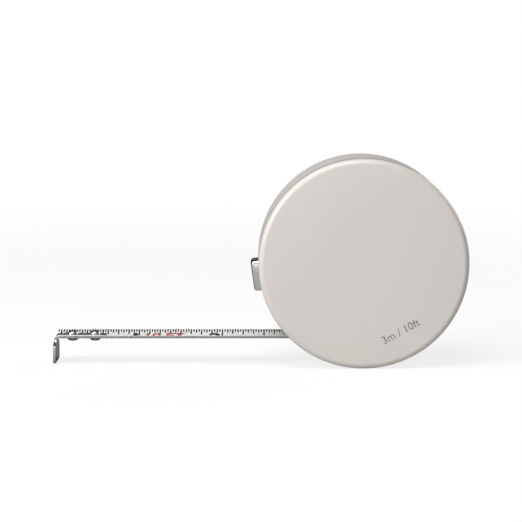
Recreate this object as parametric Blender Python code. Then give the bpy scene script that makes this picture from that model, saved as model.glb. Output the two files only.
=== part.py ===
"""Pocket tape measure: round two-shell case, sprung drum, curved steel blade and floating end hook.

The case stands on its rim with its axis along Y.  The front face looks towards -Y and the
blade leaves the case towards -X, so its end hook hangs just above the same surface.
"""

import math

import bmesh
import bpy
from mathutils import Matrix, Vector

MM = 0.001

# Clearances
FIT_GAP = 0.3 * MM          # between pieces that touch or run together
FINE_GAP = 0.1 * MM         # between the thin pieces riveted at the blade's end

# Case
CASE_RADIUS = 31.25 * MM
CASE_THICKNESS = 28.0 * MM
CASE_FILLET = 1.8 * MM
CASE_SIDES = 96
CASE_WALL = 1.3 * MM
FRONT_RIM_DEPTH = 5.0 * MM  # front face to the parting seam
SPIGOT_DEPTH = 1.7 * MM
SPIGOT_WALL = 1.0 * MM
FILLET_STEPS = 6

# Case screws, driven from the back into bosses of the front shell
SCREW_ANGLES = (30.0, 140.0, 285.0)
BOSS_RADIUS = 2.2 * MM
SCREW_SHANK = 0.8 * MM
SCREW_HEAD = 1.8 * MM
SCREW_HEAD_HEIGHT = 0.9 * MM
SCREW_LENGTH = 9.0 * MM

# Blade
BLADE_WIDTH = 12.7 * MM
BLADE_THICKNESS = 0.15 * MM
BLADE_CURVE = 14.0 * MM
BLADE_STEPS = 12
HOOK_REACH = 93.0 * MM      # case axis to the hook's outer face, the scale's zero
COIL_THICKNESS = 4.0 * MM
COIL_RADIUS = 21.9 * MM

# Drum, post and mainspring
FLANGE_WALL = 1.0 * MM
FLANGE_LIP = 0.8 * MM       # flange edge beyond the full coil
DRUM_WALL = 2.0 * MM
POST_RADIUS = 3.5 * MM
POST_TAIL = 2.0 * MM
SPRING_STRIP = 0.35 * MM
SPRING_PITCH = 1.15 * MM
SPRING_WIDTH = 11.0 * MM
WASHER_RADIUS = 5.5 * MM
WASHER_THICKNESS = 0.6 * MM
HUB_SCREW_SHANK = 1.2 * MM
HUB_SCREW_HEAD = 2.6 * MM
HUB_SCREW_HEAD_HEIGHT = 1.6 * MM
HUB_SCREW_DEPTH = 6.0 * MM

# Chassis
CHASSIS_PLATE = 1.0 * MM
HUB_BOSS_RADIUS = 5.0 * MM

# Mouth
MOUTH_WALL = 0.95 * MM
MOUTH_TOP_WALL = 1.2 * MM
MOUTH_RECESS = 0.2 * MM
MOUTH_GROOVE = 4.2 * MM
MOUTH_DEPTH = 22.3 * MM     # rim to the guide's inner end

# End hook and rivets
HOOK_THICKNESS = 0.8 * MM
HOOK_WIDTH = 12.0 * MM
HOOK_DROP = 8.15 * MM       # tongue's top to the foot of the leg
HOOK_SHOULDER = 1.4 * MM
TONGUE_WIDTH = 4.4 * MM
TONGUE_END = 16.4 * MM      # outer face to the tongue's rounded end
RIVET_OUTER = 5.5 * MM      # outer face to each rivet
RIVET_INNER = 12.3 * MM
RIVET_SHANK = 1.0 * MM
RIVET_HEAD = 1.65 * MM
RIVET_TOP = 1.1 * MM
RIVET_BOTTOM = 0.75 * MM

# Lock button
BUTTON_ANGLE = 188.0
BUTTON_HEIGHT = 9.2 * MM
BUTTON_WIDTH = 9.4 * MM
BUTTON_PROUD = 2.1 * MM
BUTTON_DEPTH = 5.8 * MM
BUTTON_ROUND = 0.9 * MM
BUTTON_TRAVEL = 1.2 * MM
BUTTON_FLANGE = 1.3 * MM    # flange beyond the button on each side
BUTTON_FLANGE_DEPTH = 1.3 * MM

# Brake lever
LEVER_WALL = 1.6 * MM
LEVER_FOOT = 5.4 * MM       # pin to the middle of the brake shoe, along the case
NOSE_WIDTH = 2.4 * MM
LEVER_HUB = 1.9 * MM
LEVER_WIDTH = 15.0 * MM
LEVER_POCKET = 3.0 * MM     # room for the torsion spring at the back of the hub
PIN_RADIUS = 0.8 * MM
PIN_FRONT = 8.5 * MM
PAD_DEPTH = 1.2 * MM
PAD_LENGTH = 4.4 * MM
SPRING_WIRE = 0.25 * MM
SPRING_TURNS = 3

# Places that follow from the sizes above
SHELL_HALF = CASE_THICKNESS / 2
CASE_FLAT = CASE_RADIUS * math.cos(math.pi / CASE_SIDES)
CASE_X = (HOOK_REACH - CASE_FLAT) / 2
CASE_Z = CASE_FLAT
INNER_RADIUS = CASE_RADIUS - CASE_WALL
INNER_FACE = SHELL_HALF - CASE_WALL
SEAM_Y = FRONT_RIM_DEPTH - SHELL_HALF
SPIGOT_OUTER = INNER_RADIUS - FIT_GAP
SPIGOT_INNER = SPIGOT_OUTER - SPIGOT_WALL
SCREW_CIRCLE = SPIGOT_INNER - BOSS_RADIUS - FIT_GAP
CHASSIS_FACE = INNER_FACE - FIT_GAP - CHASSIS_PLATE
FLANGE_INNER = BLADE_WIDTH / 2 + 1.5 * FIT_GAP
FLANGE_OUTER = FLANGE_INNER + FLANGE_WALL
FLANGE_RADIUS = COIL_RADIUS + FLANGE_LIP
HUB_RADIUS = COIL_RADIUS - COIL_THICKNESS - FIT_GAP
HUB_INNER = HUB_RADIUS - DRUM_WALL
BORE_RADIUS = POST_RADIUS + FIT_GAP
BLADE_RISE = BLADE_CURVE - math.sqrt(BLADE_CURVE ** 2 - (BLADE_WIDTH / 2) ** 2)
BLADE_TROUGH = -(COIL_RADIUS + FIT_GAP + BLADE_RISE + BLADE_THICKNESS)
TONGUE_DIP = BLADE_CURVE - math.sqrt(BLADE_CURVE ** 2 - (TONGUE_WIDTH / 2) ** 2)
TONGUE_BOTTOM = BLADE_TROUGH + BLADE_THICKNESS / 2 + TONGUE_DIP + FINE_GAP
TONGUE_TOP = TONGUE_BOTTOM + HOOK_THICKNESS
RIVET_CROWN = TONGUE_TOP + FINE_GAP + RIVET_TOP
RIVET_FOOT = BLADE_TROUGH - BLADE_THICKNESS / 2 - FINE_GAP - RIVET_BOTTOM
BLADE_END = -HOOK_REACH + HOOK_THICKNESS + 5 * FINE_GAP
PASSAGE_TOP = RIVET_CROWN + FIT_GAP
PASSAGE_FLOOR = BLADE_TROUGH - BLADE_THICKNESS / 2 + 0.1 * MM - FIT_GAP
GROOVE_FLOOR = RIVET_FOOT - FIT_GAP
GUIDE_TOP = PASSAGE_TOP + MOUTH_TOP_WALL
GUIDE_FLOOR = GROOVE_FLOOR - MOUTH_WALL
GUIDE_HALF = BLADE_WIDTH / 2 + 1.3 * FIT_GAP + MOUTH_WALL
PASSAGE_HALF = GUIDE_HALF - MOUTH_WALL
BUTTON_INNER = CASE_RADIUS + BUTTON_PROUD - BUTTON_DEPTH
LEVER_INNER = FLANGE_RADIUS + FIT_GAP + max(PAD_DEPTH, BUTTON_TRAVEL) + FIT_GAP
LEVER_CIRCLE = LEVER_INNER + LEVER_WALL
PAD_HALF = FLANGE_OUTER + FINE_GAP
FOOT_SWEEP = math.degrees(LEVER_FOOT / LEVER_CIRCLE)
NOSE_SWEEP = math.degrees(NOSE_WIDTH / LEVER_CIRCLE)
PAD_SWEEP = math.degrees(PAD_LENGTH / LEVER_CIRCLE)
LEVER_END = 180.0 + math.degrees(math.asin(-(GUIDE_TOP + 4 * FIT_GAP) / LEVER_CIRCLE))
LEVER_ANGLE = LEVER_END - PAD_SWEEP / 2 - FOOT_SWEEP


def material(name, colour, roughness, metallic=0.0):
    """Principled material in one colour."""
    made = bpy.data.materials.new(name)
    made.use_nodes = True
    shader = made.node_tree.nodes["Principled BSDF"]
    shader.inputs["Base Color"].default_value = (*colour, 1.0)
    shader.inputs["Roughness"].default_value = roughness
    shader.inputs["Metallic"].default_value = metallic
    return made


def make_object(name, mesh_data, finish, place=(0.0, 0.0, 0.0)):
    """Close the bmesh into an object that stands at a place given from the case axis."""
    bmesh.ops.recalc_face_normals(mesh_data, faces=mesh_data.faces)
    mesh = bpy.data.meshes.new(name)
    mesh_data.to_mesh(mesh)
    mesh_data.free()
    piece = bpy.data.objects.new(name, mesh)
    bpy.context.scene.collection.objects.link(piece)
    piece.location = (CASE_X + place[0], place[1], CASE_Z + place[2])
    mesh.materials.append(finish)
    return piece


def smooth(piece, angle=35.0):
    """Shade round faces smooth and keep real edges sharp."""
    piece.data.shade_smooth()
    piece.data.set_sharp_from_angle(angle=math.radians(angle))


def lathe(profile, sides, axis="Y", closed=True):
    """Turn (radius, height) points about an axis; a point at radius zero is a pole."""
    mesh_data = bmesh.new()
    start = math.pi / sides
    rings = []
    for radius, height in profile:
        ring = []
        for side in range(sides if radius > 0 else 1):
            angle = start + 2 * math.pi * side / sides
            across = radius * math.cos(angle)
            up = radius * math.sin(angle)
            point = (across, height, up) if axis == "Y" else (across, up, height)
            ring.append(mesh_data.verts.new(point))
        rings.append(ring)
    pairs = list(zip(rings, rings[1:]))
    if closed and profile[0][0] > 0:
        pairs.append((rings[-1], rings[0]))
    for first, second in pairs:
        for side in range(sides):
            after = (side + 1) % sides
            corners = [first[side % len(first)], first[after % len(first)],
                       second[after % len(second)], second[side % len(second)]]
            unique = list(dict.fromkeys(corners))
            if len(unique) > 2:
                mesh_data.faces.new(unique)
    return mesh_data


def prism(outline, low, high):
    """Extrude an (x, z) outline along Y."""
    mesh_data = bmesh.new()
    near = [mesh_data.verts.new((x, low, z)) for x, z in outline]
    far = [mesh_data.verts.new((x, high, z)) for x, z in outline]
    mesh_data.faces.new(near)
    mesh_data.faces.new(far)
    for index in range(len(outline)):
        after = (index + 1) % len(outline)
        mesh_data.faces.new([near[index], near[after], far[after], far[index]])
    return mesh_data


def block(x_range, y_range, z_range):
    """Box between three pairs of limits."""
    outline = [(x_range[0], z_range[0]), (x_range[1], z_range[0]),
               (x_range[1], z_range[1]), (x_range[0], z_range[1])]
    return prism(outline, *y_range)


def arc(centre, radius, first, last, steps):
    """Points on an arc in the XZ plane, angles in degrees."""
    points = []
    for step in range(steps + 1):
        angle = math.radians(first + (last - first) * step / steps)
        points.append((centre[0] + radius * math.cos(angle), centre[1] + radius * math.sin(angle)))
    return points


def on_case(angle, radius):
    """Point at an angle and a distance from the case axis."""
    turn = math.radians(angle)
    return radius * math.cos(turn), radius * math.sin(turn)


def apply_boolean(piece, mesh_data, operation, place=(0.0, 0.0, 0.0)):
    """Cut, join or trim a piece with a second closed shape."""
    tool = make_object("cutter", mesh_data, piece.data.materials[0], place)
    modifier = piece.modifiers.new("shape", "BOOLEAN")
    modifier.operation = operation
    modifier.solver = "EXACT"
    modifier.object = tool
    bpy.context.view_layer.update()
    shaped = bpy.data.meshes.new_from_object(piece.evaluated_get(
        bpy.context.evaluated_depsgraph_get()))
    piece.modifiers.remove(modifier)
    piece.data = shaped
    bpy.data.objects.remove(tool)


def cut(piece, mesh_data, place=(0.0, 0.0, 0.0)):
    """Take a shape out of a piece."""
    apply_boolean(piece, mesh_data, "DIFFERENCE", place)


def join(piece, mesh_data, place=(0.0, 0.0, 0.0)):
    """Add a shape to a piece."""
    apply_boolean(piece, mesh_data, "UNION", place)


def rod(radius, low, high, sides=24):
    """Round bar along Y."""
    return lathe([(0, low), (radius, low), (radius, high), (0, high)], sides)


def on_button(mesh_data):
    """Turn a shape made along -X so that it points out of the case along the button."""
    turn = Matrix.Rotation(math.radians(180.0 - BUTTON_ANGLE), 3, "Y")
    bmesh.ops.rotate(mesh_data, verts=mesh_data.verts, cent=(0, 0, 0), matrix=turn)
    return mesh_data


def ribbon(stations):
    """Closed solid through stations of four corner points each."""
    mesh_data = bmesh.new()
    rows = [[mesh_data.verts.new(corner) for corner in station] for station in stations]
    for first, second in zip(rows, rows[1:]):
        for corner in range(4):
            after = (corner + 1) % 4
            mesh_data.faces.new([first[corner], first[after], second[after], second[corner]])
    mesh_data.faces.new(rows[0])
    mesh_data.faces.new(rows[-1])
    return mesh_data


def move_origin(piece, place):
    """Set a piece's origin at a place given from the case axis, leaving its shape there."""
    piece.data.transform(Matrix.Translation(-Vector(place)))
    piece.location = piece.location + Vector(place)


def make_front_shell(finish):
    """Front face, its rounded rim, the spigot that enters the rear shell and the screw bosses."""
    face = -SHELL_HALF
    profile = [(0, face)]
    for step in range(FILLET_STEPS + 1):
        angle = math.pi / 2 * step / FILLET_STEPS
        profile.append((CASE_RADIUS - CASE_FILLET * (1 - math.sin(angle)),
                        face + CASE_FILLET * (1 - math.cos(angle))))
    rim = SEAM_Y - FIT_GAP / 2
    profile += [(CASE_RADIUS, rim), (SPIGOT_OUTER, rim), (SPIGOT_OUTER, rim + SPIGOT_DEPTH),
                (SPIGOT_INNER, rim + SPIGOT_DEPTH), (SPIGOT_INNER, -INNER_FACE), (0, -INNER_FACE)]
    shell = make_object("front_shell", lathe(profile, CASE_SIDES), finish)
    notch = block((-CASE_RADIUS, -GUIDE_HALF), (-GUIDE_HALF - FIT_GAP, 0),
                  (GUIDE_FLOOR - FIT_GAP, GUIDE_TOP + FIT_GAP))
    cut(shell, notch)
    for angle in SCREW_ANGLES:
        x, z = on_case(angle, SCREW_CIRCLE)
        join(shell, rod(BOSS_RADIUS, -INNER_FACE - CASE_WALL / 2, CHASSIS_FACE - FIT_GAP), (x, 0, z))
        bore_start = SHELL_HALF - SCREW_LENGTH - 2 * FIT_GAP
        cut(shell, rod(SCREW_SHANK + FIT_GAP, bore_start, SHELL_HALF, 16), (x, 0, z))
    smooth(shell)


def make_rear_shell(finish):
    """Deep cup that closes on the front shell, with the mouth, button and screw openings."""
    back = SHELL_HALF
    profile = [(0, back)]
    for step in range(FILLET_STEPS + 1):
        angle = math.pi / 2 * step / FILLET_STEPS
        profile.append((CASE_RADIUS - CASE_FILLET * (1 - math.sin(angle)),
                        back - CASE_FILLET * (1 - math.cos(angle))))
    rim = SEAM_Y + FIT_GAP / 2
    profile += [(CASE_RADIUS, rim), (INNER_RADIUS, rim), (INNER_RADIUS, INNER_FACE - CASE_WALL)]
    profile += [(INNER_RADIUS - CASE_WALL, INNER_FACE), (0, INNER_FACE)]
    shell = make_object("rear_shell", lathe(profile, CASE_SIDES), finish)
    mouth = GUIDE_HALF + FIT_GAP
    opening = block((-CASE_RADIUS - MM, -GUIDE_HALF), (-mouth, mouth),
                    (GUIDE_FLOOR - FIT_GAP, GUIDE_TOP + FIT_GAP))
    cut(shell, opening)
    half_width = BUTTON_WIDTH / 2 + FIT_GAP
    half_height = BUTTON_HEIGHT / 2 + FIT_GAP
    slot = block((-CASE_RADIUS - MM, -CASE_RADIUS + 3 * CASE_WALL), (-half_width, half_width),
                 (-half_height, half_height))
    cut(shell, on_button(slot))
    for angle in SCREW_ANGLES:
        x, z = on_case(angle, SCREW_CIRCLE)
        hole = SCREW_SHANK + FIT_GAP
        sink = SCREW_HEAD + FIT_GAP
        floor = back - SCREW_HEAD_HEIGHT - FIT_GAP
        cutter = lathe([(0, floor - CASE_WALL), (hole, floor - CASE_WALL), (hole, floor),
                        (sink, floor + SCREW_HEAD_HEIGHT / 2), (sink, back + MM), (0, back + MM)], 24)
        cut(shell, cutter, (x, 0, z))
    smooth(shell)


def make_case_screws(finish):
    """Three countersunk screws with cross recesses."""
    top = SHELL_HALF - FIT_GAP
    floor = top - SCREW_HEAD_HEIGHT
    for number, angle in enumerate(SCREW_ANGLES, 1):
        x, z = on_case(angle, SCREW_CIRCLE)
        tip = SHELL_HALF - SCREW_LENGTH
        profile = [(0, tip), (SCREW_SHANK, tip), (SCREW_SHANK, floor),
                   (SCREW_HEAD, floor + SCREW_HEAD_HEIGHT / 2), (SCREW_HEAD, top), (0, top)]
        screw = make_object(f"case_screw_{number}", lathe(profile, 24), finish, (x, 0, z))
        arm = SCREW_HEAD * 0.55
        slot = SCREW_HEAD * 0.14
        depth = top - SCREW_HEAD_HEIGHT * 0.6
        cut(screw, block((-arm, arm), (depth, top + MM), (-slot, slot)), (x, 0, z))
        cut(screw, block((-slot, slot), (depth, top + MM), (-arm, arm)), (x, 0, z))
        smooth(screw)


def make_chassis(finish):
    """Back plate of the movement with the hub boss and the lever pin's boss."""
    back = CHASSIS_FACE + CHASSIS_PLATE
    radius = SPIGOT_INNER - CASE_WALL
    profile = [(POST_TAIL + FIT_GAP, back), (radius, back), (radius, CHASSIS_FACE),
               (HUB_BOSS_RADIUS, CHASSIS_FACE), (HUB_BOSS_RADIUS, FLANGE_OUTER + FIT_GAP),
               (POST_TAIL + FIT_GAP, FLANGE_OUTER + FIT_GAP)]
    chassis = make_object("chassis", lathe(profile, 64), finish)
    x, z = on_case(LEVER_ANGLE, LEVER_CIRCLE)
    join(chassis, rod(LEVER_HUB, LEVER_WIDTH / 2 + FIT_GAP, back - 0.1 * MM), (x, 0, z))
    cut(chassis, rod(PIN_RADIUS + FIT_GAP, 0, SHELL_HALF, 16), (x, 0, z))
    for angle in SCREW_ANGLES:
        x, z = on_case(angle, SCREW_CIRCLE)
        cut(chassis, rod(SCREW_SHANK + FIT_GAP, 0, SHELL_HALF, 16), (x, 0, z))
    smooth(chassis)


def make_mouth_guide(finish):
    """Plastic throat in the rim that leads the blade in and lets the rivets pass."""
    inner_end = MOUTH_DEPTH - CASE_RADIUS
    far = CASE_RADIUS + MM
    body = block((-far, inner_end), (-GUIDE_HALF, GUIDE_HALF), (GUIDE_FLOOR, GUIDE_TOP))
    guide = make_object("mouth_guide", body, finish)
    rim = rod(CASE_RADIUS - MOUTH_RECESS, -SHELL_HALF, SHELL_HALF, CASE_SIDES)
    apply_boolean(guide, rim, "INTERSECT")
    cut(guide, rod(FLANGE_RADIUS + FIT_GAP, -SHELL_HALF, SHELL_HALF, 64))
    cut(guide, block((-far, 0), (-PASSAGE_HALF, PASSAGE_HALF), (PASSAGE_FLOOR, PASSAGE_TOP)))
    cut(guide, block((-far, 0), (-MOUTH_GROOVE / 2, MOUTH_GROOVE / 2), (GROOVE_FLOOR, PASSAGE_TOP)))
    smooth(guide)


def make_post(finish):
    """Steel post on the hub boss, with its tail in the chassis and a bore for the hub screw."""
    front = -FLANGE_OUTER - FIT_GAP
    profile = [(0, CHASSIS_FACE + CHASSIS_PLATE), (POST_TAIL, CHASSIS_FACE + CHASSIS_PLATE),
               (POST_TAIL, FLANGE_OUTER), (POST_RADIUS, FLANGE_OUTER), (POST_RADIUS, front),
               (HUB_SCREW_SHANK + FIT_GAP, front),
               (HUB_SCREW_SHANK + FIT_GAP, front + HUB_SCREW_DEPTH + FIT_GAP),
               (0, front + HUB_SCREW_DEPTH + FIT_GAP)]
    smooth(make_object("spring_post", lathe(profile, 32), finish))


def make_hub_washer(finish):
    """Washer that keeps the drum on its post."""
    back = -FLANGE_OUTER - 2 * FIT_GAP
    bore = HUB_SCREW_SHANK + FIT_GAP
    profile = [(bore, back), (WASHER_RADIUS, back), (WASHER_RADIUS, back - WASHER_THICKNESS),
               (bore, back - WASHER_THICKNESS)]
    smooth(make_object("hub_washer", lathe(profile, 32), finish))


def make_hub_screw(finish):
    """Pan-head screw in the post's bore."""
    seat = -FLANGE_OUTER - 3 * FIT_GAP - WASHER_THICKNESS
    top = seat - HUB_SCREW_HEAD_HEIGHT
    tip = -FLANGE_OUTER - FIT_GAP + HUB_SCREW_DEPTH
    profile = [(0, tip), (HUB_SCREW_SHANK, tip), (HUB_SCREW_SHANK, seat), (HUB_SCREW_HEAD, seat),
               (HUB_SCREW_HEAD, (seat + top) / 2), (HUB_SCREW_HEAD * 0.8, top), (0, top)]
    screw = make_object("hub_screw", lathe(profile, 24), finish)
    arm = HUB_SCREW_HEAD * 0.55
    slot = HUB_SCREW_HEAD * 0.12
    cut(screw, block((-arm, arm), (top - MM, (seat + top) / 2), (-slot, slot)))
    cut(screw, block((-slot, slot), (top - MM, (seat + top) / 2), (-arm, arm)))
    smooth(screw)


def make_drum(finish):
    """Reel whose hub holds the mainspring, with its rear flange in one piece."""
    hub_end = -FLANGE_INNER + FIT_GAP
    profile = [(BORE_RADIUS, FLANGE_OUTER), (FLANGE_RADIUS, FLANGE_OUTER),
               (FLANGE_RADIUS, FLANGE_INNER), (HUB_RADIUS, FLANGE_INNER), (HUB_RADIUS, hub_end),
               (HUB_INNER, hub_end), (HUB_INNER, FLANGE_INNER), (BORE_RADIUS, FLANGE_INNER)]
    smooth(make_object("drum", lathe(profile, 64), finish))


def make_drum_cover(finish):
    """Front flange that closes the hub over the mainspring."""
    profile = [(BORE_RADIUS, -FLANGE_OUTER), (FLANGE_RADIUS, -FLANGE_OUTER),
               (FLANGE_RADIUS, -FLANGE_INNER), (BORE_RADIUS, -FLANGE_INNER)]
    smooth(make_object("drum_cover", lathe(profile, 64), finish))


def make_tape_coil(finish):
    """Blade wound on the hub."""
    inner = COIL_RADIUS - COIL_THICKNESS
    half = BLADE_WIDTH / 2
    profile = [(inner, half), (COIL_RADIUS, half), (COIL_RADIUS, -half), (inner, -half)]
    smooth(make_object("tape_coil", lathe(profile, 64), finish))


def make_mainspring(finish):
    """Flat spiral spring between the post and the hub."""
    first = POST_RADIUS + FIT_GAP
    last = HUB_INNER - FIT_GAP - SPRING_STRIP
    turns = (last - first) / SPRING_PITCH
    steps = int(turns * 24)
    stations = []
    for step in range(steps + 1):
        radius = first + (last - first) * step / steps
        angle = 2 * math.pi * turns * step / steps
        inner = (radius * math.cos(angle), radius * math.sin(angle))
        reach = radius + SPRING_STRIP
        outer = (reach * math.cos(angle), reach * math.sin(angle))
        half = SPRING_WIDTH / 2
        stations.append([(inner[0], -half, inner[1]), (outer[0], -half, outer[1]),
                         (outer[0], half, outer[1]), (inner[0], half, inner[1])])
    smooth(make_object("mainspring", ribbon(stations), finish))


def make_blade(finish):
    """Straight run of the curved steel blade, from the coil to the end hook."""
    mesh_data = bmesh.new()
    ends = []
    spread = math.asin(BLADE_WIDTH / 2 / BLADE_CURVE)
    centre = BLADE_TROUGH + BLADE_CURVE
    for x in (BLADE_END, 0.0):
        loop = []
        for radius, direction in ((BLADE_CURVE - BLADE_THICKNESS / 2, 1),
                                  (BLADE_CURVE + BLADE_THICKNESS / 2, -1)):
            for step in range(BLADE_STEPS + 1):
                angle = direction * spread * (2 * step / BLADE_STEPS - 1)
                point = (x, radius * math.sin(angle), centre - radius * math.cos(angle))
                loop.append(mesh_data.verts.new(point))
        ends.append(loop)
    count = len(ends[0])
    for index in range(count):
        after = (index + 1) % count
        mesh_data.faces.new([ends[0][index], ends[0][after], ends[1][after], ends[1][index]])
    for loop in ends:
        for step in range(BLADE_STEPS):
            mesh_data.faces.new([loop[step], loop[step + 1], loop[count - 2 - step],
                                 loop[count - 1 - step]])
    blade = make_object("blade", mesh_data, finish)
    for reach in (RIVET_OUTER, RIVET_INNER):
        hole = lathe([(0, RIVET_FOOT - MM), (RIVET_SHANK + 1.5 * FINE_GAP, RIVET_FOOT - MM),
                      (RIVET_SHANK + 1.5 * FINE_GAP, 0), (0, 0)], 16, "Z")
        cut(blade, hole, (reach - HOOK_REACH, 0, 0))
    smooth(blade)


def make_end_hook(finish):
    """Bent hook: a tongue in the blade's trough, a shouldered bend and a wider leg."""
    half_tongue = TONGUE_WIDTH / 2
    half_leg = HOOK_WIDTH / 2
    outside = -HOOK_REACH
    bend = 2 * HOOK_THICKNESS
    tip = outside + TONGUE_END
    foot = TONGUE_TOP - HOOK_DROP
    stations = []

    def station(outer, inner, half):
        stations.append([(outer[0], -half, outer[1]), (outer[0], half, outer[1]),
                         (inner[0], half, inner[1]), (inner[0], -half, inner[1])])

    for step in range(1, 7):
        turn = math.pi / 2 * step / 6
        x = tip - half_tongue * (1 - math.cos(turn))
        station((x, TONGUE_TOP), (x, TONGUE_BOTTOM), half_tongue * math.sin(turn))
    for step in range(7):
        turn = math.pi / 2 * step / 6
        spread = (math.sin(turn), math.cos(turn))
        centre = (outside + bend, TONGUE_TOP - bend)
        near = bend - HOOK_THICKNESS
        station((centre[0] - bend * spread[0], centre[1] + bend * spread[1]),
                (centre[0] - near * spread[0], centre[1] + near * spread[1]), half_tongue)
    corner = HOOK_SHOULDER / 2
    for drop, half in ((HOOK_SHOULDER, half_leg), (HOOK_DROP - bend - corner, half_leg),
                       (HOOK_DROP - bend - corner * 0.3, half_leg - corner * 0.3),
                       (HOOK_DROP - bend, half_leg - corner)):
        z = TONGUE_TOP - bend - drop
        station((outside, max(z, foot)), (outside + HOOK_THICKNESS, max(z, foot)), half)
    hook = make_object("end_hook", ribbon(stations), finish)
    width = RIVET_SHANK + 1.5 * FINE_GAP
    for reach in (RIVET_OUTER, RIVET_INNER):
        centre = outside + reach
        outline = arc((centre, 0), width, 90, 270, 8)
        outline += arc((centre + HOOK_THICKNESS, 0), width, -90, 90, 8)
        slot = prism(outline, -TONGUE_TOP - MM, -TONGUE_TOP + 2 * MM)
        bmesh.ops.rotate(slot, verts=slot.verts, cent=(0, 0, 0),
                         matrix=Matrix.Rotation(-math.pi / 2, 3, "X"))
        cut(hook, slot)
    smooth(hook)


def make_rivets(finish):
    """Two domed rivets that hold the hook's tongue to the blade."""
    lower = RIVET_FOOT + RIVET_BOTTOM
    upper = RIVET_CROWN - RIVET_TOP
    profile = [(0, RIVET_FOOT)]
    for step in range(1, 5):
        turn = math.pi / 2 * step / 4
        profile.append((RIVET_HEAD * math.sin(turn), lower - RIVET_BOTTOM * math.cos(turn)))
    profile += [(RIVET_SHANK, lower), (RIVET_SHANK, upper)]
    for step in range(4, 0, -1):
        turn = math.pi / 2 * step / 4
        profile.append((RIVET_HEAD * math.sin(turn), upper + RIVET_TOP * math.cos(turn)))
    profile.append((0, RIVET_CROWN))
    for name, reach in (("outer", RIVET_OUTER), ("inner", RIVET_INNER)):
        place = (reach - HOOK_REACH, 0, 0)
        smooth(make_object(f"hook_rivet_{name}", lathe(profile, 20, "Z"), finish, place))


def make_lock_button(finish):
    """Metal push button with a flange that keeps it inside the case."""
    face = CASE_RADIUS + BUTTON_PROUD
    half_width = BUTTON_WIDTH / 2
    half_height = BUTTON_HEIGHT / 2
    body = block((-face, -BUTTON_INNER), (-half_width, half_width), (-half_height, half_height))
    bmesh.ops.bevel(body, geom=body.edges[:], offset=BUTTON_ROUND, segments=3, profile=0.5,
                    affect="EDGES")
    button = make_object("lock_button", on_button(body), finish)
    high = half_height + BUTTON_FLANGE
    stop = math.sqrt((INNER_RADIUS - FIT_GAP) ** 2 - high ** 2)
    wide = half_width + BUTTON_FLANGE
    flange = block((-stop, BUTTON_FLANGE_DEPTH - stop), (-wide, wide), (-high, high))
    join(button, on_button(flange))
    smooth(button)


def make_brake_lever(finish):
    """Rocker between the button and the drum; its spring holds the brake on."""
    x, z = on_case(LEVER_ANGLE, LEVER_CIRCLE)
    first = BUTTON_ANGLE - NOSE_SWEEP / 2
    outline = arc((0, 0), LEVER_INNER, first, LEVER_END, 12)
    outline += arc((0, 0), LEVER_CIRCLE, LEVER_END, first + NOSE_SWEEP, 10)
    outline += arc((0, 0), BUTTON_INNER - FIT_GAP, first + NOSE_SWEEP, first, 2)
    half = LEVER_WIDTH / 2
    lever = make_object("brake_lever", prism(outline, -half, half), finish)
    join(lever, rod(LEVER_HUB, -half, half), (x, 0, z))
    pocket = LEVER_HUB + 2 * FIT_GAP
    cut(lever, rod(pocket, half - LEVER_POCKET, half + MM), (x, 0, z))
    cut(lever, rod(PIN_RADIUS + FIT_GAP, -SHELL_HALF, SHELL_HALF, 16), (x, 0, z))
    move_origin(lever, (x, 0, z))
    smooth(lever)


def make_brake_pad(finish):
    """Rubber shoe under the lever's foot, facing both flanges of the drum."""
    x, z = on_case(LEVER_ANGLE, LEVER_CIRCLE)
    inner = FLANGE_RADIUS + FIT_GAP
    outline = arc((0, 0), inner, LEVER_END - PAD_SWEEP, LEVER_END, 6)
    outline += arc((0, 0), inner + PAD_DEPTH, LEVER_END, LEVER_END - PAD_SWEEP, 6)
    pad = make_object("brake_pad", prism(outline, -PAD_HALF, PAD_HALF), finish)
    move_origin(pad, (x, 0, z))
    smooth(pad)


def make_lever_pin(finish):
    """Steel pin that the lever rocks on, pressed into its chassis boss."""
    x, z = on_case(LEVER_ANGLE, LEVER_CIRCLE)
    body = rod(PIN_RADIUS, -PIN_FRONT, CHASSIS_FACE + CHASSIS_PLATE, 16)
    smooth(make_object("lever_pin", body, finish, (x, 0, z)))


def make_lever_spring(finish):
    """Torsion spring round the pin, in the pocket behind the lever's hub."""
    x, z = on_case(LEVER_ANGLE, LEVER_CIRCLE)
    radius = PIN_RADIUS + FIT_GAP + SPRING_WIRE
    low = LEVER_WIDTH / 2 - LEVER_POCKET + FIT_GAP + SPRING_WIRE
    high = LEVER_WIDTH / 2 - SPRING_WIRE
    steps = SPRING_TURNS * 16
    mesh_data = bmesh.new()
    rings = []
    for step in range(steps + 1):
        turn = 2 * math.pi * SPRING_TURNS * step / steps
        along = low + (high - low) * step / steps
        out = Vector((math.cos(turn), 0, math.sin(turn)))
        centre = out * radius + Vector((0, along, 0))
        ring = []
        for side in range(6):
            angle = math.pi / 3 * side
            offset = out * math.cos(angle) + Vector((0, math.sin(angle), 0))
            ring.append(mesh_data.verts.new(centre + offset * SPRING_WIRE))
        rings.append(ring)
    for first, second in zip(rings, rings[1:]):
        for side in range(6):
            after = (side + 1) % 6
            mesh_data.faces.new([first[side], first[after], second[after], second[side]])
    mesh_data.faces.new(rings[0])
    mesh_data.faces.new(rings[-1])
    smooth(make_object("lever_spring", mesh_data, finish, (x, 0, z)))


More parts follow.
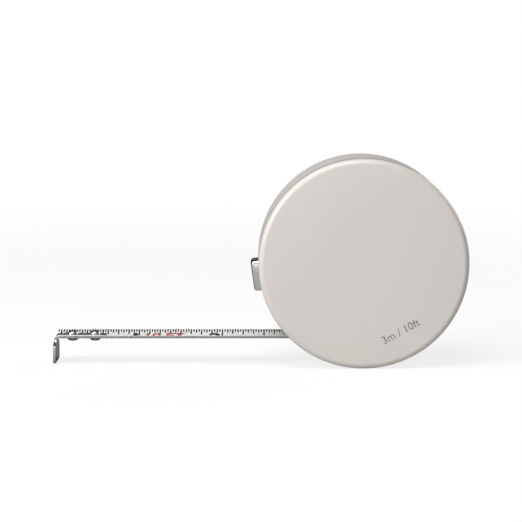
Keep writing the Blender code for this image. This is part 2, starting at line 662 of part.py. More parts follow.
def build():
    """Clear the scene and make every piece."""
    for old in list(bpy.data.objects):
        bpy.data.objects.remove(old)
    paint = material("case_paint", (0.62, 0.58, 0.55), 0.38)
    black = material("black_plastic", (0.03, 0.03, 0.03), 0.5)
    white = material("white_plastic", (0.75, 0.75, 0.72), 0.45)
    steel = material("plated_steel", (0.62, 0.62, 0.62), 0.25, 1.0)
    spring = material("spring_steel", (0.25, 0.25, 0.27), 0.35, 1.0)
    enamel = material("blade_enamel", (0.72, 0.72, 0.70), 0.4)
    rubber = material("brake_rubber", (0.02, 0.02, 0.02), 0.8)
    chrome = material("button_chrome", (0.55, 0.55, 0.56), 0.2, 1.0)
    make_front_shell(paint)
    make_rear_shell(paint)
    make_chassis(black)
    make_mouth_guide(black)
    make_post(steel)
    make_hub_washer(steel)
    make_hub_screw(steel)
    make_drum(white)
    make_drum_cover(white)
    make_tape_coil(enamel)
    make_mainspring(spring)
    make_blade(enamel)
    make_end_hook(steel)
    make_rivets(steel)
    make_lock_button(chrome)
    make_brake_lever(black)
    make_brake_pad(rubber)
    make_lever_pin(steel)
    make_lever_spring(spring)
    make_case_screws(steel)


build()
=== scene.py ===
import math

import bmesh
import bpy
from mathutils import Matrix, Vector


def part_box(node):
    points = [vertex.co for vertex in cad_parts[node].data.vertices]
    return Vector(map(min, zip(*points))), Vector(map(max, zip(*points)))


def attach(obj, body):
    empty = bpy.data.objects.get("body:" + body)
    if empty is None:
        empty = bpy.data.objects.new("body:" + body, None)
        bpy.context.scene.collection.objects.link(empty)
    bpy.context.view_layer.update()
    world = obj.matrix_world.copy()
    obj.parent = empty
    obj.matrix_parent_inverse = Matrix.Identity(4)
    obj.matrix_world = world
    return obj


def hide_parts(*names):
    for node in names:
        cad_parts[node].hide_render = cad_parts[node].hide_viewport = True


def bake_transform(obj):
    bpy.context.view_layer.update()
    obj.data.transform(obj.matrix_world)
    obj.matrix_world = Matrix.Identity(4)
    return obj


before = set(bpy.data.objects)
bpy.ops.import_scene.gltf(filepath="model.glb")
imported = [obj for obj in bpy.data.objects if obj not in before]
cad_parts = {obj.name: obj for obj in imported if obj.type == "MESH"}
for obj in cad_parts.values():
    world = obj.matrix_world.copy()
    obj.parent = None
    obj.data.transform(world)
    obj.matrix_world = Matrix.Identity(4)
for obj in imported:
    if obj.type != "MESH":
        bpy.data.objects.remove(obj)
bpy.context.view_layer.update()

# Rear shell.  The deep cup of the case, moulded with a flat back, a round edge and two windows
# in its rim, one for the blade's mouth and one for the lock button.  It is sprayed a warm pale
# grey, baked and then slid over the front shell's spigot.
MM = 0.001
rear_low, rear_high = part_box("rear_shell")
front_low, front_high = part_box("front_shell")
guide_low, guide_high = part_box("mouth_guide")
AXIS = Vector(((rear_low.x + rear_high.x) / 2, 0.0, (rear_low.z + rear_high.z) / 2))
CASE_RADIUS = (rear_high.x - rear_low.x) / 2
CASE_SIDES = 240
CASE_WALL = 1.3 * MM
CASE_FILLET = 1.8 * MM
SEAM_ROUND = 0.62 * MM
SPIGOT_ROUND = 0.25 * MM
SEAM_GAP = 0.3 * MM
FIT_GAP = 0.3 * MM
BUTTON_ANGLE = 188.0
BUTTON_HEIGHT = 9.2 * MM
BUTTON_WIDTH = 9.4 * MM
SCREW_RECESS = 2.1 * MM
SCREW_HOLE = 1.1 * MM
SCREW_DEPTH = 1.2 * MM
SCREW_ROUND = 0.2 * MM
WINDOW_CORNER = 0.4 * MM
SLOT_CORNER = 1.0 * MM
SLOT_EXTRA = 0.04 * MM
FILLET_STEPS = 14
SEAM_STEPS = 8
ON_AXIS = 1e-7  # a smaller radius is a point on the axis
# Lip of a window: depth from the rim and growth of the outline, in millimetres
WINDOW_LIP = ((-0.34, 0.0), (-0.2, 0.03), (-0.1, 0.09), (-0.04, 0.17), (0.0, 0.28), (0.6, 0.9))


def arc(centre, radius, first, last, steps):
    """Points of an arc in a plane, from one angle in degrees to another."""
    points = []
    for step in range(steps + 1):
        angle = math.radians(first + (last - first) * step / steps)
        points.append((centre[0] + radius * math.cos(angle), centre[1] + radius * math.sin(angle)))
    return points


def plug(radius, low, high):
    """Outline of a plain disc or rod, for turning."""
    return [(0.0, low), (radius, low), (radius, high), (0.0, high)]


def turned(outline, sides, middle=(0.0, 0.0, 0.0), upright=False):
    """Turn (radius, height) points about an axis through the middle, along Y or upright."""
    made = bmesh.new()
    rings = []
    for radius, height in outline:
        ring = []
        for side in range(sides if radius > ON_AXIS else 1):
            angle = 2 * math.pi * (side + 0.5) / sides
            across = radius * math.cos(angle)
            up = radius * math.sin(angle)
            place = (across, up, height) if upright else (across, height, up)
            ring.append(made.verts.new(Vector(middle) + Vector(place)))
        rings.append(ring)
    pairs = list(zip(rings, rings[1:]))
    if outline[0][0] > ON_AXIS:
        pairs.append((rings[-1], rings[0]))
    for first, second in pairs:
        for side in range(sides):
            after = (side + 1) % sides
            corners = [first[side % len(first)], first[after % len(first)],
                       second[after % len(second)], second[side % len(second)]]
            corners = list(dict.fromkeys(corners))
            if len(corners) > 2:
                made.faces.new(corners)
    bmesh.ops.recalc_face_normals(made, faces=made.faces)
    return made


def lofted(loops):
    """Closed solid through equal loops of points, with a flat cap at each end."""
    made = bmesh.new()
    rows = [[made.verts.new(point) for point in loop] for loop in loops]
    for first, second in zip(rows, rows[1:]):
        for index in range(len(first)):
            after = (index + 1) % len(first)
            made.faces.new([first[index], first[after], second[after], second[index]])
    made.faces.new(rows[0])
    made.faces.new(rows[-1])
    bmesh.ops.recalc_face_normals(made, faces=made.faces)
    return made


def rounded_frame(half_across, half_up, corner, steps=5):
    """Outline of a rectangle with round corners, about its own middle."""
    points = []
    for turn, right, up in ((0, 1, 1), (90, -1, 1), (180, -1, -1), (270, 1, -1)):
        centre = (right * (half_across - corner), up * (half_up - corner))
        points += arc(centre, corner, turn, turn + 90, steps)
    return points


def in_scene(name, data):
    """New object in the scene that holds the given data."""
    made = bpy.data.objects.new(name, data)
    bpy.context.scene.collection.objects.link(made)
    return made


def placed(name, made):
    """Put a finished shape in the scene under a name."""
    mesh = bpy.data.meshes.new(name)
    made.to_mesh(mesh)
    made.free()
    return in_scene(name, mesh)


def baked(piece):
    """Turn a piece and its modifiers into a plain mesh."""
    bpy.context.view_layer.update()
    ready = piece.evaluated_get(bpy.context.evaluated_depsgraph_get())
    mesh = bpy.data.meshes.new_from_object(ready)
    mesh.name = piece.name
    piece.modifiers.clear()
    piece.data = mesh
    return piece


def shaped(piece, tool, operation="DIFFERENCE"):
    """Cut, join or trim a piece with a second closed shape."""
    cutter = placed("cutter", tool)
    work = piece.modifiers.new("shape", "BOOLEAN")
    work.operation = operation
    work.solver = "EXACT"
    work.object = cutter
    baked(piece)
    bpy.data.objects.remove(cutter)
    return piece


def smoothed(piece, angle=32.0):
    """Shade round faces smooth and keep the real edges crisp."""
    made = bmesh.new()
    made.from_mesh(piece.data)
    bmesh.ops.remove_doubles(made, verts=made.verts, dist=1e-6)
    made.to_mesh(piece.data)
    made.free()
    piece.data.shade_smooth()
    piece.data.set_sharp_from_angle(angle=math.radians(angle))
    return piece


def coated(piece, finish, body, slot, *nodes):
    """Give a piece its finish and body, and let it stand for its CAD nodes."""
    piece.data.materials.clear()
    piece.data.materials.append(finish)
    if nodes:
        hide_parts(*nodes)
    if body:
        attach(piece, body)
    return piece


def on_rim(angle, radius, height, along):
    """Point at an arc length from an angle of the rim, at a radius and a place along Y."""
    turn = math.radians(angle) + height / CASE_RADIUS
    return AXIS + Vector((radius * math.cos(turn), along, radius * math.sin(turn)))


def rim_flare(angle, half_width, half_height, corner):
    """Cutter that rounds the lip of a window in the rim."""
    loops = []
    for depth, growth in WINDOW_LIP:
        frame_points = rounded_frame(half_width + growth * MM, half_height + growth * MM,
                                     corner + growth * MM)
        loops.append([on_rim(angle, CASE_RADIUS + depth * MM, up, across)
                      for across, up in frame_points])
    return lofted(loops)


def boxed(x_range, y_range, z_range, corner):
    """Bar along X with round corners, placed from the case axis."""
    half_across = (y_range[1] - y_range[0]) / 2
    half_up = (z_range[1] - z_range[0]) / 2
    middle = Vector((0.0, sum(y_range) / 2, sum(z_range) / 2))
    loops = []
    for x in x_range:
        loops.append([AXIS + middle + Vector((x, across, up))
                      for across, up in rounded_frame(half_across, half_up, corner)])
    return lofted(loops)


def along_button(made):
    """Turn a shape made along -X from the case axis so that it lies along the button."""
    turn = Matrix.Rotation(math.radians(180.0 - BUTTON_ANGLE), 3, "Y")
    bmesh.ops.rotate(made, verts=made.verts, cent=AXIS, matrix=turn)
    return made


def make_rear_shell():
    """Cup with a round back edge, windows with rounded lips and three screw recesses."""
    back = rear_high.y
    rim = rear_low.y
    outline = [(0.0, back), (CASE_RADIUS * 0.5, back)]
    outline += arc((CASE_RADIUS - CASE_FILLET, back - CASE_FILLET), CASE_FILLET, 90, 0, FILLET_STEPS)
    outline += arc((CASE_RADIUS - SEAM_ROUND, rim + SEAM_ROUND), SEAM_ROUND, 0, -90, SEAM_STEPS)
    inner = CASE_RADIUS - CASE_WALL
    floor = back - CASE_WALL
    outline += [(inner, rim), (inner, floor - CASE_WALL), (inner - CASE_WALL, floor), (0.0, floor)]
    shell = placed("case_back", turned(outline, CASE_SIDES, AXIS))
    mouth = guide_high.y + FIT_GAP
    low = guide_low.z - FIT_GAP - AXIS.z
    high = guide_high.z + FIT_GAP - AXIS.z
    reach = CASE_RADIUS + MM
    shaped(shell, boxed((-reach, -CASE_RADIUS / 3), (-mouth, mouth), (low, high), WINDOW_CORNER))
    across = BUTTON_WIDTH / 2 + FIT_GAP
    up = BUTTON_HEIGHT / 2 + FIT_GAP
    slot = boxed((-reach, -CASE_RADIUS + 3 * CASE_WALL), (-across, across), (-up, up),
                 SLOT_CORNER)
    shaped(shell, along_button(slot))
    shaped(shell, rim_flare(BUTTON_ANGLE, across, up + SLOT_EXTRA, SLOT_CORNER))
    for number in (1, 2, 3):
        low_corner, high_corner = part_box(f"case_screw_{number}")
        middle = (low_corner + high_corner) / 2
        middle.y = 0.0
        seat = back - SCREW_DEPTH
        sink = [(0.0, seat - 2 * CASE_WALL), (SCREW_HOLE, seat - 2 * CASE_WALL), (SCREW_HOLE, seat),
                (SCREW_RECESS, seat + SCREW_DEPTH * 0.4), (SCREW_RECESS, back - SCREW_ROUND)]
        sink += arc((SCREW_RECESS + SCREW_ROUND, back - SCREW_ROUND), SCREW_ROUND, 180, 90, 4)
        sink += [(SCREW_RECESS + SCREW_ROUND, back + MM), (0.0, back + MM)]
        shaped(shell, turned(sink, 48, middle))
    return smoothed(shell)


def fill(tree, node, inputs):
    """Fill a node's inputs with values or links."""
    for name, value in inputs.items():
        if isinstance(value, bpy.types.NodeSocket):
            tree.links.new(value, node.inputs[name])
        else:
            node.inputs[name].default_value = value


def add_node(tree, kind, inputs=None, **settings):
    """Add a node with its settings, and fill its inputs."""
    made = tree.nodes.new(kind)
    for name, value in settings.items():
        setattr(made, name, value)
    fill(tree, made, inputs or {})
    return made


def new_group(name, kind, inputs, outputs):
    """Node group with named sockets; returns the tree, what it is given and its output node."""
    tree = bpy.data.node_groups.new(name, kind)
    for label, socket_kind, value in inputs:
        made = tree.interface.new_socket(label, in_out="INPUT",
                                         socket_type="NodeSocket" + socket_kind)
        if value is not None:
            made.default_value = value
    for label, socket_kind in outputs:
        tree.interface.new_socket(label, in_out="OUTPUT", socket_type="NodeSocket" + socket_kind)
    return tree, tree.nodes.new("NodeGroupInput").outputs, tree.nodes.new("NodeGroupOutput")


def maths(tree, operation, first, second=0.0, third=0.0):
    """One arithmetic step; returns its result."""
    return add_node(tree, "ShaderNodeMath", {0: first, 1: second, 2: third},
                    operation=operation).outputs[0]


def noise(tree, place, scale, detail=3.0, roughness=0.55):
    """Noise that varies from about 0.3 to 0.7 round a half."""
    inputs = {"Vector": place, "Scale": scale, "Detail": detail, "Roughness": roughness}
    return add_node(tree, "ShaderNodeTexNoise", inputs).outputs[0]


def tinted(tree, factor, first, second, blend="MIX"):
    """Mix of two colours."""
    return add_node(tree, "ShaderNodeMix", {0: factor, 6: first, 7: second},
                    data_type="RGBA", blend_type=blend).outputs[2]


def make_grain_group():
    """Slow cloudiness in colour and gloss over a fine grain, for sprayed and moulded surfaces."""
    tree, given, result = new_group(
        "surface_grain", "ShaderNodeTree",
        [("Place", "Vector", None), ("Colour", "Color", (0.5, 0.5, 0.5, 1.0)),
         ("Cloud Scale", "Float", 60.0), ("Cloud Amount", "Float", 0.05),
         ("Grain Scale", "Float", 4000.0), ("Roughness", "Float", 0.4),
         ("Roughness Spread", "Float", 0.1)],
        [("Colour", "Color"), ("Roughness", "Float"),
         ("Height", "Float")])
    place = given["Place"]
    cloud = noise(tree, place, given["Cloud Scale"])
    fine = noise(tree, place, given["Grain Scale"], 2.0)
    swing = maths(tree, "SUBTRACT", cloud, 0.5)
    speck = maths(tree, "SUBTRACT", fine, 0.5)
    both = maths(tree, "MULTIPLY_ADD", speck, 0.35, swing)
    shade = maths(tree, "MULTIPLY_ADD", both, given["Cloud Amount"], 1.0)
    grey = add_node(tree, "ShaderNodeCombineColor", {0: shade, 1: shade, 2: shade})
    colour = tinted(tree, 1.0, given["Colour"], grey.outputs[0], "MULTIPLY")
    rough = maths(tree, "MULTIPLY_ADD", swing, given["Roughness Spread"],
                  given["Roughness"])
    fill(tree, result, {"Colour": colour, "Roughness": rough, "Height": fine})
    return tree


def make_wear_group():
    """Mask of worn outer edges, broken up by noise."""
    tree, given, result = new_group(
        "edge_wear", "ShaderNodeTree",
        [("Place", "Vector", None), ("Width", "Float", 0.0003),
         ("Amount", "Float", 0.3), ("Patch Scale", "Float", 500.0)],
        [("Mask", "Float")])
    rounded = add_node(tree, "ShaderNodeBevel", {"Radius": given["Width"]}, samples=4)
    flat = add_node(tree, "ShaderNodeNewGeometry")
    likeness = add_node(tree, "ShaderNodeVectorMath",
                        {0: rounded.outputs[0], 1: flat.outputs["Normal"]},
                        operation="DOT_PRODUCT").outputs["Value"]
    bend = maths(tree, "SUBTRACT", 1.0, likeness)
    edge = add_node(tree, "ShaderNodeMapRange",
                    {"Value": bend, "From Min": 0.01, "From Max": 0.18}).outputs[0]
    patch = add_node(tree, "ShaderNodeMapRange",
                     {"Value": noise(tree, given["Place"], given["Patch Scale"]),
                      "From Min": 0.42, "From Max": 0.62}).outputs[0]
    worn = maths(tree, "MULTIPLY", edge, patch)
    fill(tree, result, {"Mask": maths(tree, "MULTIPLY", worn, given["Amount"])})
    return tree


SURFACE_GRAIN = make_grain_group()
EDGE_WEAR = make_wear_group()


def new_finish(name):
    """Empty material with its shader and object coordinates."""
    made = bpy.data.materials.new(name)
    made.use_nodes = True
    tree = made.node_tree
    place = add_node(tree, "ShaderNodeTexCoord").outputs["Object"]
    return made, tree, tree.nodes["Principled BSDF"], place


def add_group(tree, group, inputs):
    """Place a shared effect in a material with its own values."""
    return add_node(tree, "ShaderNodeGroup", inputs, node_tree=group)


def bumped(tree, shader, height, distance):
    """Raise a surface's normal by a height."""
    bump = add_node(tree, "ShaderNodeBump", {"Height": height, "Distance": distance})
    fill(tree, shader, {"Normal": bump.outputs[0]})


def new_grained(name, colour, amounts):
    """Finish with a surface grain of its own amounts; colour and gloss come from the grain."""
    made, tree, shader, place = new_finish(name)
    grain = add_group(tree, SURFACE_GRAIN, {"Place": place, "Colour": (*colour, 1.0), **amounts})
    fill(tree, shader, {"Base Color": grain.outputs["Colour"],
                        "Roughness": grain.outputs["Roughness"]})
    return made, tree, shader, place, grain


def make_case_paint():
    """Baked satin paint: pale warm grey, a faint orange peel and slightly polished edges."""
    made, tree, shader, place, grain = new_grained("case_paint", (0.665, 0.628, 0.588), {
        "Cloud Scale": 55.0, "Cloud Amount": 0.05, "Grain Scale": 2600.0, "Roughness": 0.36,
        "Roughness Spread": 0.12})
    wear = add_group(tree, EDGE_WEAR, {"Place": place, "Width": 0.35 * MM, "Amount": 0.35,
                                       "Patch Scale": 420.0})
    worn = tinted(tree, wear.outputs["Mask"], grain.outputs["Colour"], (0.74, 0.71, 0.68, 1.0))
    rough = maths(tree, "MULTIPLY_ADD", wear.outputs["Mask"], -0.12, grain.outputs["Roughness"])
    peel = noise(tree, place, 900.0, 1.0)
    height = maths(tree, "MULTIPLY_ADD", peel, 2.0, grain.outputs["Height"])
    fill(tree, shader, {"Base Color": worn, "Roughness": rough, "Coat Weight": 0.12,
                        "Coat Roughness": 0.22, "IOR": 1.48})
    bumped(tree, shader, height, 0.004 * MM)
    return made


CASE_PAINT = make_case_paint()
coated(make_rear_shell(), CASE_PAINT, "case", "case_paint", "rear_shell")


# Front shell.  The shallow lid of the case, in the same paint, with a flat round face that rolls
# over into the rim.  Its spigot enters the rear shell and its three tall bosses take the screws.
SPIGOT_DEPTH = 1.7 * MM
SPIGOT_WALL = 1.0 * MM
BOSS_RADIUS = 2.2 * MM
NOTCH_CORNER = 0.3 * MM


def make_front_shell():
    """Flat face with a round edge, spigot and screw bosses."""
    face = front_low.y
    rim = rear_low.y - SEAM_GAP
    outer = CASE_RADIUS - CASE_WALL - FIT_GAP
    floor = face + CASE_WALL
    outline = [(0.0, face), (CASE_RADIUS * 0.5, face)]
    outline += arc((CASE_RADIUS - CASE_FILLET, face + CASE_FILLET), CASE_FILLET, -90, 0, FILLET_STEPS)
    outline += arc((CASE_RADIUS - SEAM_ROUND, rim - SEAM_ROUND), SEAM_ROUND, 0, 90, SEAM_STEPS)
    outline += [(outer, rim), (outer, rim + SPIGOT_DEPTH - SPIGOT_ROUND),
                (outer - SPIGOT_ROUND, rim + SPIGOT_DEPTH), (outer - SPIGOT_WALL, rim + SPIGOT_DEPTH),
                (outer - SPIGOT_WALL, floor), (0.0, floor)]
    shell = placed("case_front", turned(outline, CASE_SIDES, AXIS))
    notch = boxed((-CASE_RADIUS, -guide_high.y), (guide_low.y - FIT_GAP, 0.0),
                  (guide_low.z - FIT_GAP - AXIS.z, guide_high.z + FIT_GAP - AXIS.z), NOTCH_CORNER)
    shaped(shell, notch)
    for number in (1, 2, 3):
        low_corner, high_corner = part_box(f"case_screw_{number}")
        middle = (low_corner + high_corner) / 2
        middle.y = 0.0
        end = front_high.y
        boss = plug(BOSS_RADIUS, floor - CASE_WALL / 2, end)
        shaped(shell, turned(boss, 40, middle), "UNION")
        shaped(shell, turned(plug(SCREW_HOLE, low_corner.y - FIT_GAP, end + MM), 32, middle))
    return smoothed(shell)


coated(make_front_shell(), CASE_PAINT, "case", "case_paint", "front_shell")


# Parting band.  A black rubber ring on the spigot, between the two shells, whose black is painted shade
# standing in for the shadow in the seam gap as a fine dark line round the case.  The mouth lies wholly
# behind it.
BAND_HALF = 0.7 * MM
BAND_CROWN = 0.06 * MM
BAND_LIP = 0.2 * MM


def make_rubber(name):
    """Dull black rubber with a coarse, slightly dusty surface."""
    made, tree, shader, _, grain = new_grained(name, (0.018, 0.018, 0.019), {
        "Cloud Scale": 300.0, "Cloud Amount": 0.6, "Grain Scale": 2500.0, "Roughness": 0.82,
        "Roughness Spread": 0.2})
    fill(tree, shader, {"Specular IOR Level": 0.35})
    bumped(tree, shader, grain.outputs["Height"], 0.03 * MM)
    return made


def make_parting_band():
    """Dark ring that fills the groove between the rounded lips of the shells, flush with the rim: painted
    shade for the seam gap.
    """
    seam = rear_low.y - SEAM_GAP / 2
    root = CASE_RADIUS - SEAM_ROUND
    neck = SEAM_GAP / 2 - BAND_CROWN / 2
    edge = CASE_RADIUS - BAND_CROWN
    outline = [(CASE_RADIUS - CASE_WALL, seam - neck), (root, seam - neck)]
    outline += [(edge - BAND_LIP, seam - BAND_HALF * 0.7), (edge, seam - BAND_HALF)]
    outline += [(CASE_RADIUS, seam - BAND_HALF * 0.5), (CASE_RADIUS, seam + BAND_HALF * 0.5)]
    outline += [(edge, seam + BAND_HALF), (edge - BAND_LIP, seam + BAND_HALF * 0.7)]
    outline += [(root, seam + neck), (CASE_RADIUS - CASE_WALL, seam + neck)]
    return smoothed(placed("parting_band", turned(outline, CASE_SIDES, AXIS)))


BLACK_RUBBER = make_rubber("brake_rubber")
# The band's black is painted shade, a dark stand-in for the shadow in the seam gap.
coated(make_parting_band(), BLACK_RUBBER, "case", "brake_rubber")


# Capacity mark.  A small grey pad print low on the right of the face, square to the case's radius.
# It is a generic length in metres and feet, under 3 mm tall and 0.02 mm thick.
MARK_RADIUS = 22.6 * MM
MARK_ANGLE = -61.0
MARK_HEIGHT = 2.35 * MM
PRINT_THICKNESS = 0.02 * MM


def lettered(words, height, boldness=0.0, stretch=1.0):
    """Flat letters as a mesh in the XY plane, middle at the origin, with their real height."""
    curve = bpy.data.curves.new("letters", "FONT")
    curve.body = words
    curve.size = 1.0
    curve.offset = boldness
    curve.resolution_u = 4
    writer = in_scene("letters", curve)
    bpy.context.view_layer.update()
    mesh = bpy.data.meshes.new_from_object(
        writer.evaluated_get(bpy.context.evaluated_depsgraph_get()))
    bpy.data.objects.remove(writer)
    made = bmesh.new()
    made.from_mesh(mesh)
    bmesh.ops.remove_doubles(made, verts=made.verts, dist=1e-5)
    low = Vector([min(v.co[axis] for v in made.verts) for axis in range(3)])
    high = Vector([max(v.co[axis] for v in made.verts) for axis in range(3)])
    scale = height / (high.y - low.y)
    bmesh.ops.translate(made, verts=made.verts, vec=-(low + high) / 2)
    bmesh.ops.scale(made, verts=made.verts, vec=(scale * stretch, scale, scale))
    return made


def thickened(made, thickness):
    """Give flat letters lying in the XY plane a thickness along +Z."""
    skin = bmesh.ops.extrude_face_region(made, geom=made.faces[:])
    raised = [item for item in skin["geom"] if isinstance(item, bmesh.types.BMVert)]
    bmesh.ops.translate(made, verts=raised, vec=(0.0, 0.0, thickness))
    bmesh.ops.recalc_face_normals(made, faces=made.faces)
    return made


def make_ink(name, colour, roughness):
    """Printing ink: even colour with slight mottling and a fine uneven edge of gloss."""
    made, tree, shader, _, grain = new_grained(name, colour, {
        "Cloud Scale": 700.0, "Cloud Amount": 0.5, "Grain Scale": 9000.0, "Roughness": roughness,
        "Roughness Spread": 0.2})
    bumped(tree, shader, grain.outputs["Height"], 0.003 * MM)
    return made


def make_capacity_mark():
    """Thin letters on the face, turned to run along the rim."""
    letters = thickened(lettered("3m / 10ft", MARK_HEIGHT), PRINT_THICKNESS)
    stand = Matrix.Rotation(math.radians(90.0), 4, "X")
    tilt = Matrix.Rotation(math.radians(-(MARK_ANGLE + 90.0)), 4, "Y")
    turn = math.radians(MARK_ANGLE)
    place = Vector((AXIS.x + MARK_RADIUS * math.cos(turn), front_low.y,
                    AXIS.z + MARK_RADIUS * math.sin(turn)))
    bmesh.ops.transform(letters, verts=letters.verts, matrix=Matrix.Translation(place) @ tilt @ stand)
    return placed("capacity_mark", letters)


coated(make_capacity_mark(), make_ink("pad_print_grey", (0.17, 0.165, 0.16), 0.5), "case",
       "case_paint")


# Mouth guide.  A black acetal throat pressed into the rim: a flared slot that leads the blade in,
# with a groove down its middle for the rivet heads under the blade.
MOUTH_RECESS = 0.2 * MM
MOUTH_WALL = 0.95 * MM
MOUTH_TOP_WALL = 1.2 * MM
GROOVE_HALF = 2.1 * MM
GROOVE_DEPTH = 0.95 * MM
FLANGE_RADIUS = 22.7 * MM
GUIDE_CORNER = 0.3 * MM
PASSAGE_CORNER = 0.35 * MM
GROOVE_CORNER = 0.2 * MM
FLARE_CORNER = 0.37
# Flare of the mouth: depth from the guide's face and growth of the passage, in millimetres
MOUTH_FLARE = ((-1.6, -0.02), (-1.0, 0.05), (-0.5, 0.18), (-0.2, 0.34), (0.0, 0.5), (0.8, 0.8))


def make_plastic(name, colour, roughness, texture):
    """Moulded plastic: an even colour with the fine spark-eroded texture of its mould."""
    made, tree, shader, place, grain = new_grained(name, colour, {
        "Cloud Scale": 150.0, "Cloud Amount": 0.18, "Grain Scale": 3200.0, "Roughness": roughness,
        "Roughness Spread": 0.2})
    wear = add_group(tree, EDGE_WEAR, {"Place": place, "Width": 0.25 * MM, "Amount": 0.5,
                                       "Patch Scale": 900.0})
    lighter = tuple(min(1.0, part * 1.5 + 0.02) for part in colour)
    worn = tinted(tree, wear.outputs["Mask"], grain.outputs["Colour"], (*lighter, 1.0))
    rough = maths(tree, "MULTIPLY_ADD", wear.outputs["Mask"], -0.2, grain.outputs["Roughness"])
    fill(tree, shader, {"Base Color": worn, "Roughness": rough})
    bumped(tree, shader, grain.outputs["Height"], texture)
    return made


def make_mouth_guide():
    """Block trimmed to the rim, with a flared passage and its groove."""
    low = guide_low.z - AXIS.z
    high = guide_high.z - AXIS.z
    half = guide_high.y
    far = CASE_RADIUS + MM
    guide = placed("mouth_throat", boxed((-far, guide_high.x - AXIS.x), (-half, half),
                                         (low, high), GUIDE_CORNER))
    edge = CASE_RADIUS - MOUTH_RECESS
    shaped(guide, turned(plug(edge, -2 * half, 2 * half), CASE_SIDES, AXIS), "INTERSECT")
    shaped(guide, turned(plug(FLANGE_RADIUS + FIT_GAP, -2 * half, 2 * half), 128, AXIS))
    inside = half - MOUTH_WALL
    floor = low + MOUTH_WALL + GROOVE_DEPTH
    roof = high - MOUTH_TOP_WALL
    shaped(guide, boxed((-far, 0.0), (-inside, inside), (floor, roof), PASSAGE_CORNER))
    shaped(guide, boxed((-far, 0.0), (-GROOVE_HALF, GROOVE_HALF), (low + MOUTH_WALL, roof),
                        GROOVE_CORNER))
    loops = []
    for depth, growth in MOUTH_FLARE:
        points = rounded_frame(inside + growth * MM, (roof - floor) / 2 + growth * MM,
                               (FLARE_CORNER + growth) * MM)
        loop = []
        for across, up in points:
            height = up + (roof + floor) / 2
            reach = math.sqrt((edge + depth * MM) ** 2 - height ** 2)
            loop.append(AXIS + Vector((-reach, across, height)))
        loops.append(loop)
    shaped(guide, lofted(loops))
    return smoothed(guide)


BLACK_PLASTIC = make_plastic("black_plastic", (0.022, 0.022, 0.023), 0.42, 0.012 * MM)
coated(make_mouth_guide(), BLACK_PLASTIC, "case", "black_plastic", "mouth_guide")


# Blade.  Spring-steel strip rolled to a shallow trough, coated white on both sides under a clear
# nylon film, with trimmed corners and two punched holes where the end hook is riveted on.
blade_low, blade_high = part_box("blade")
hook_low, hook_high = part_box("end_hook")
BLADE_WIDTH = blade_high.y - blade_low.y
BLADE_CURVE = 14.0 * MM
BLADE_THICKNESS = 0.15 * MM
BLADE_STEPS = 26
BLADE_PITCH = 1.1 * MM
BLADE_TRIM = 1.6 * MM
BLADE_EDGE = BLADE_THICKNESS * 0.35
BLADE_CREASE = 40.0
SLOT_HALF = 1.15 * MM
HOLE_REACH = 2 * MM
BLADE_MIDDLE = blade_low.z + BLADE_CURVE + BLADE_THICKNESS / 2
RIVET_PLACES = []
for node in ("hook_rivet_outer", "hook_rivet_inner"):
    low_corner, high_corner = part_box(node)
    RIVET_PLACES.append((low_corner + high_corner) / 2)


def on_blade(x, across, lift=0.0):
    """Point on the blade's printed side, at an arc length from its middle line."""
    radius = BLADE_CURVE - BLADE_THICKNESS / 2 - lift
    turn = across / (BLADE_CURVE - BLADE_THICKNESS / 2)
    return Vector((x, radius * math.sin(turn), BLADE_MIDDLE - radius * math.cos(turn)))


def make_blade():
    """Trough-shaped strip with rounded long edges and trimmed corners at the hook."""
    spread = math.asin(BLADE_WIDTH / 2 / (BLADE_CURVE + BLADE_THICKNESS / 2))
    half = spread * (BLADE_CURVE - BLADE_THICKNESS / 2)
    length = blade_high.x - blade_low.x
    stations = [0.0, BLADE_TRIM * 0.15, BLADE_TRIM * 0.4, BLADE_TRIM * 0.7, BLADE_TRIM]
    count = round((length - BLADE_TRIM) / BLADE_PITCH)
    stations += [BLADE_TRIM + (length - BLADE_TRIM) * step / count for step in range(1, count + 1)]
    loops = []
    for station in stations:
        inset = BLADE_TRIM - math.sqrt(max(0.0, BLADE_TRIM ** 2 - (BLADE_TRIM - station) ** 2)) \
            if station < BLADE_TRIM else 0.0
        reach = half - inset
        loop = []
        for step in range(BLADE_STEPS + 1):
            loop.append(on_blade(blade_low.x + station, reach * (2 * step / BLADE_STEPS - 1)))
        loop.append(on_blade(blade_low.x + station, reach + BLADE_EDGE,
                             -BLADE_THICKNESS / 2))
        for step in range(BLADE_STEPS, -1, -1):
            loop.append(on_blade(blade_low.x + station, reach * (2 * step / BLADE_STEPS - 1),
                                 -BLADE_THICKNESS))
        loop.append(on_blade(blade_low.x + station, -reach - BLADE_EDGE,
                             -BLADE_THICKNESS / 2))
        loops.append(loop)
    strip = placed("printed_blade", lofted(loops))
    for place in RIVET_PLACES:
        shaped(strip, turned(plug(SLOT_HALF, -HOLE_REACH, HOLE_REACH), 32, place, upright=True))
    return smoothed(strip, BLADE_CREASE)


def make_enamel():
    """White coating with the soft gloss of its nylon film and faint lengthwise rub marks."""
    made, tree, shader, place, grain = new_grained("blade_enamel", (0.72, 0.725, 0.72), {
        "Cloud Scale": 120.0, "Cloud Amount": 0.07, "Grain Scale": 6000.0, "Roughness": 0.3,
        "Roughness Spread": 0.12})
    long_way = add_node(tree, "ShaderNodeMapping", {"Vector": place, "Scale": (0.05, 1.0, 1.0)})
    rub = noise(tree, long_way.outputs[0], 3500.0, 4.0, 0.7)
    rough = maths(tree, "MULTIPLY_ADD", maths(tree, "SUBTRACT", rub, 0.5), 0.25,
                  grain.outputs["Roughness"])
    fill(tree, shader, {"Roughness": rough, "Coat Weight": 0.35, "Coat Roughness": 0.12})
    bumped(tree, shader, rub, 0.003 * MM)
    return made


BLADE_ENAMEL = make_enamel()
blade = coated(make_blade(), BLADE_ENAMEL, None, "blade_enamel", "blade")
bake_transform(blade)


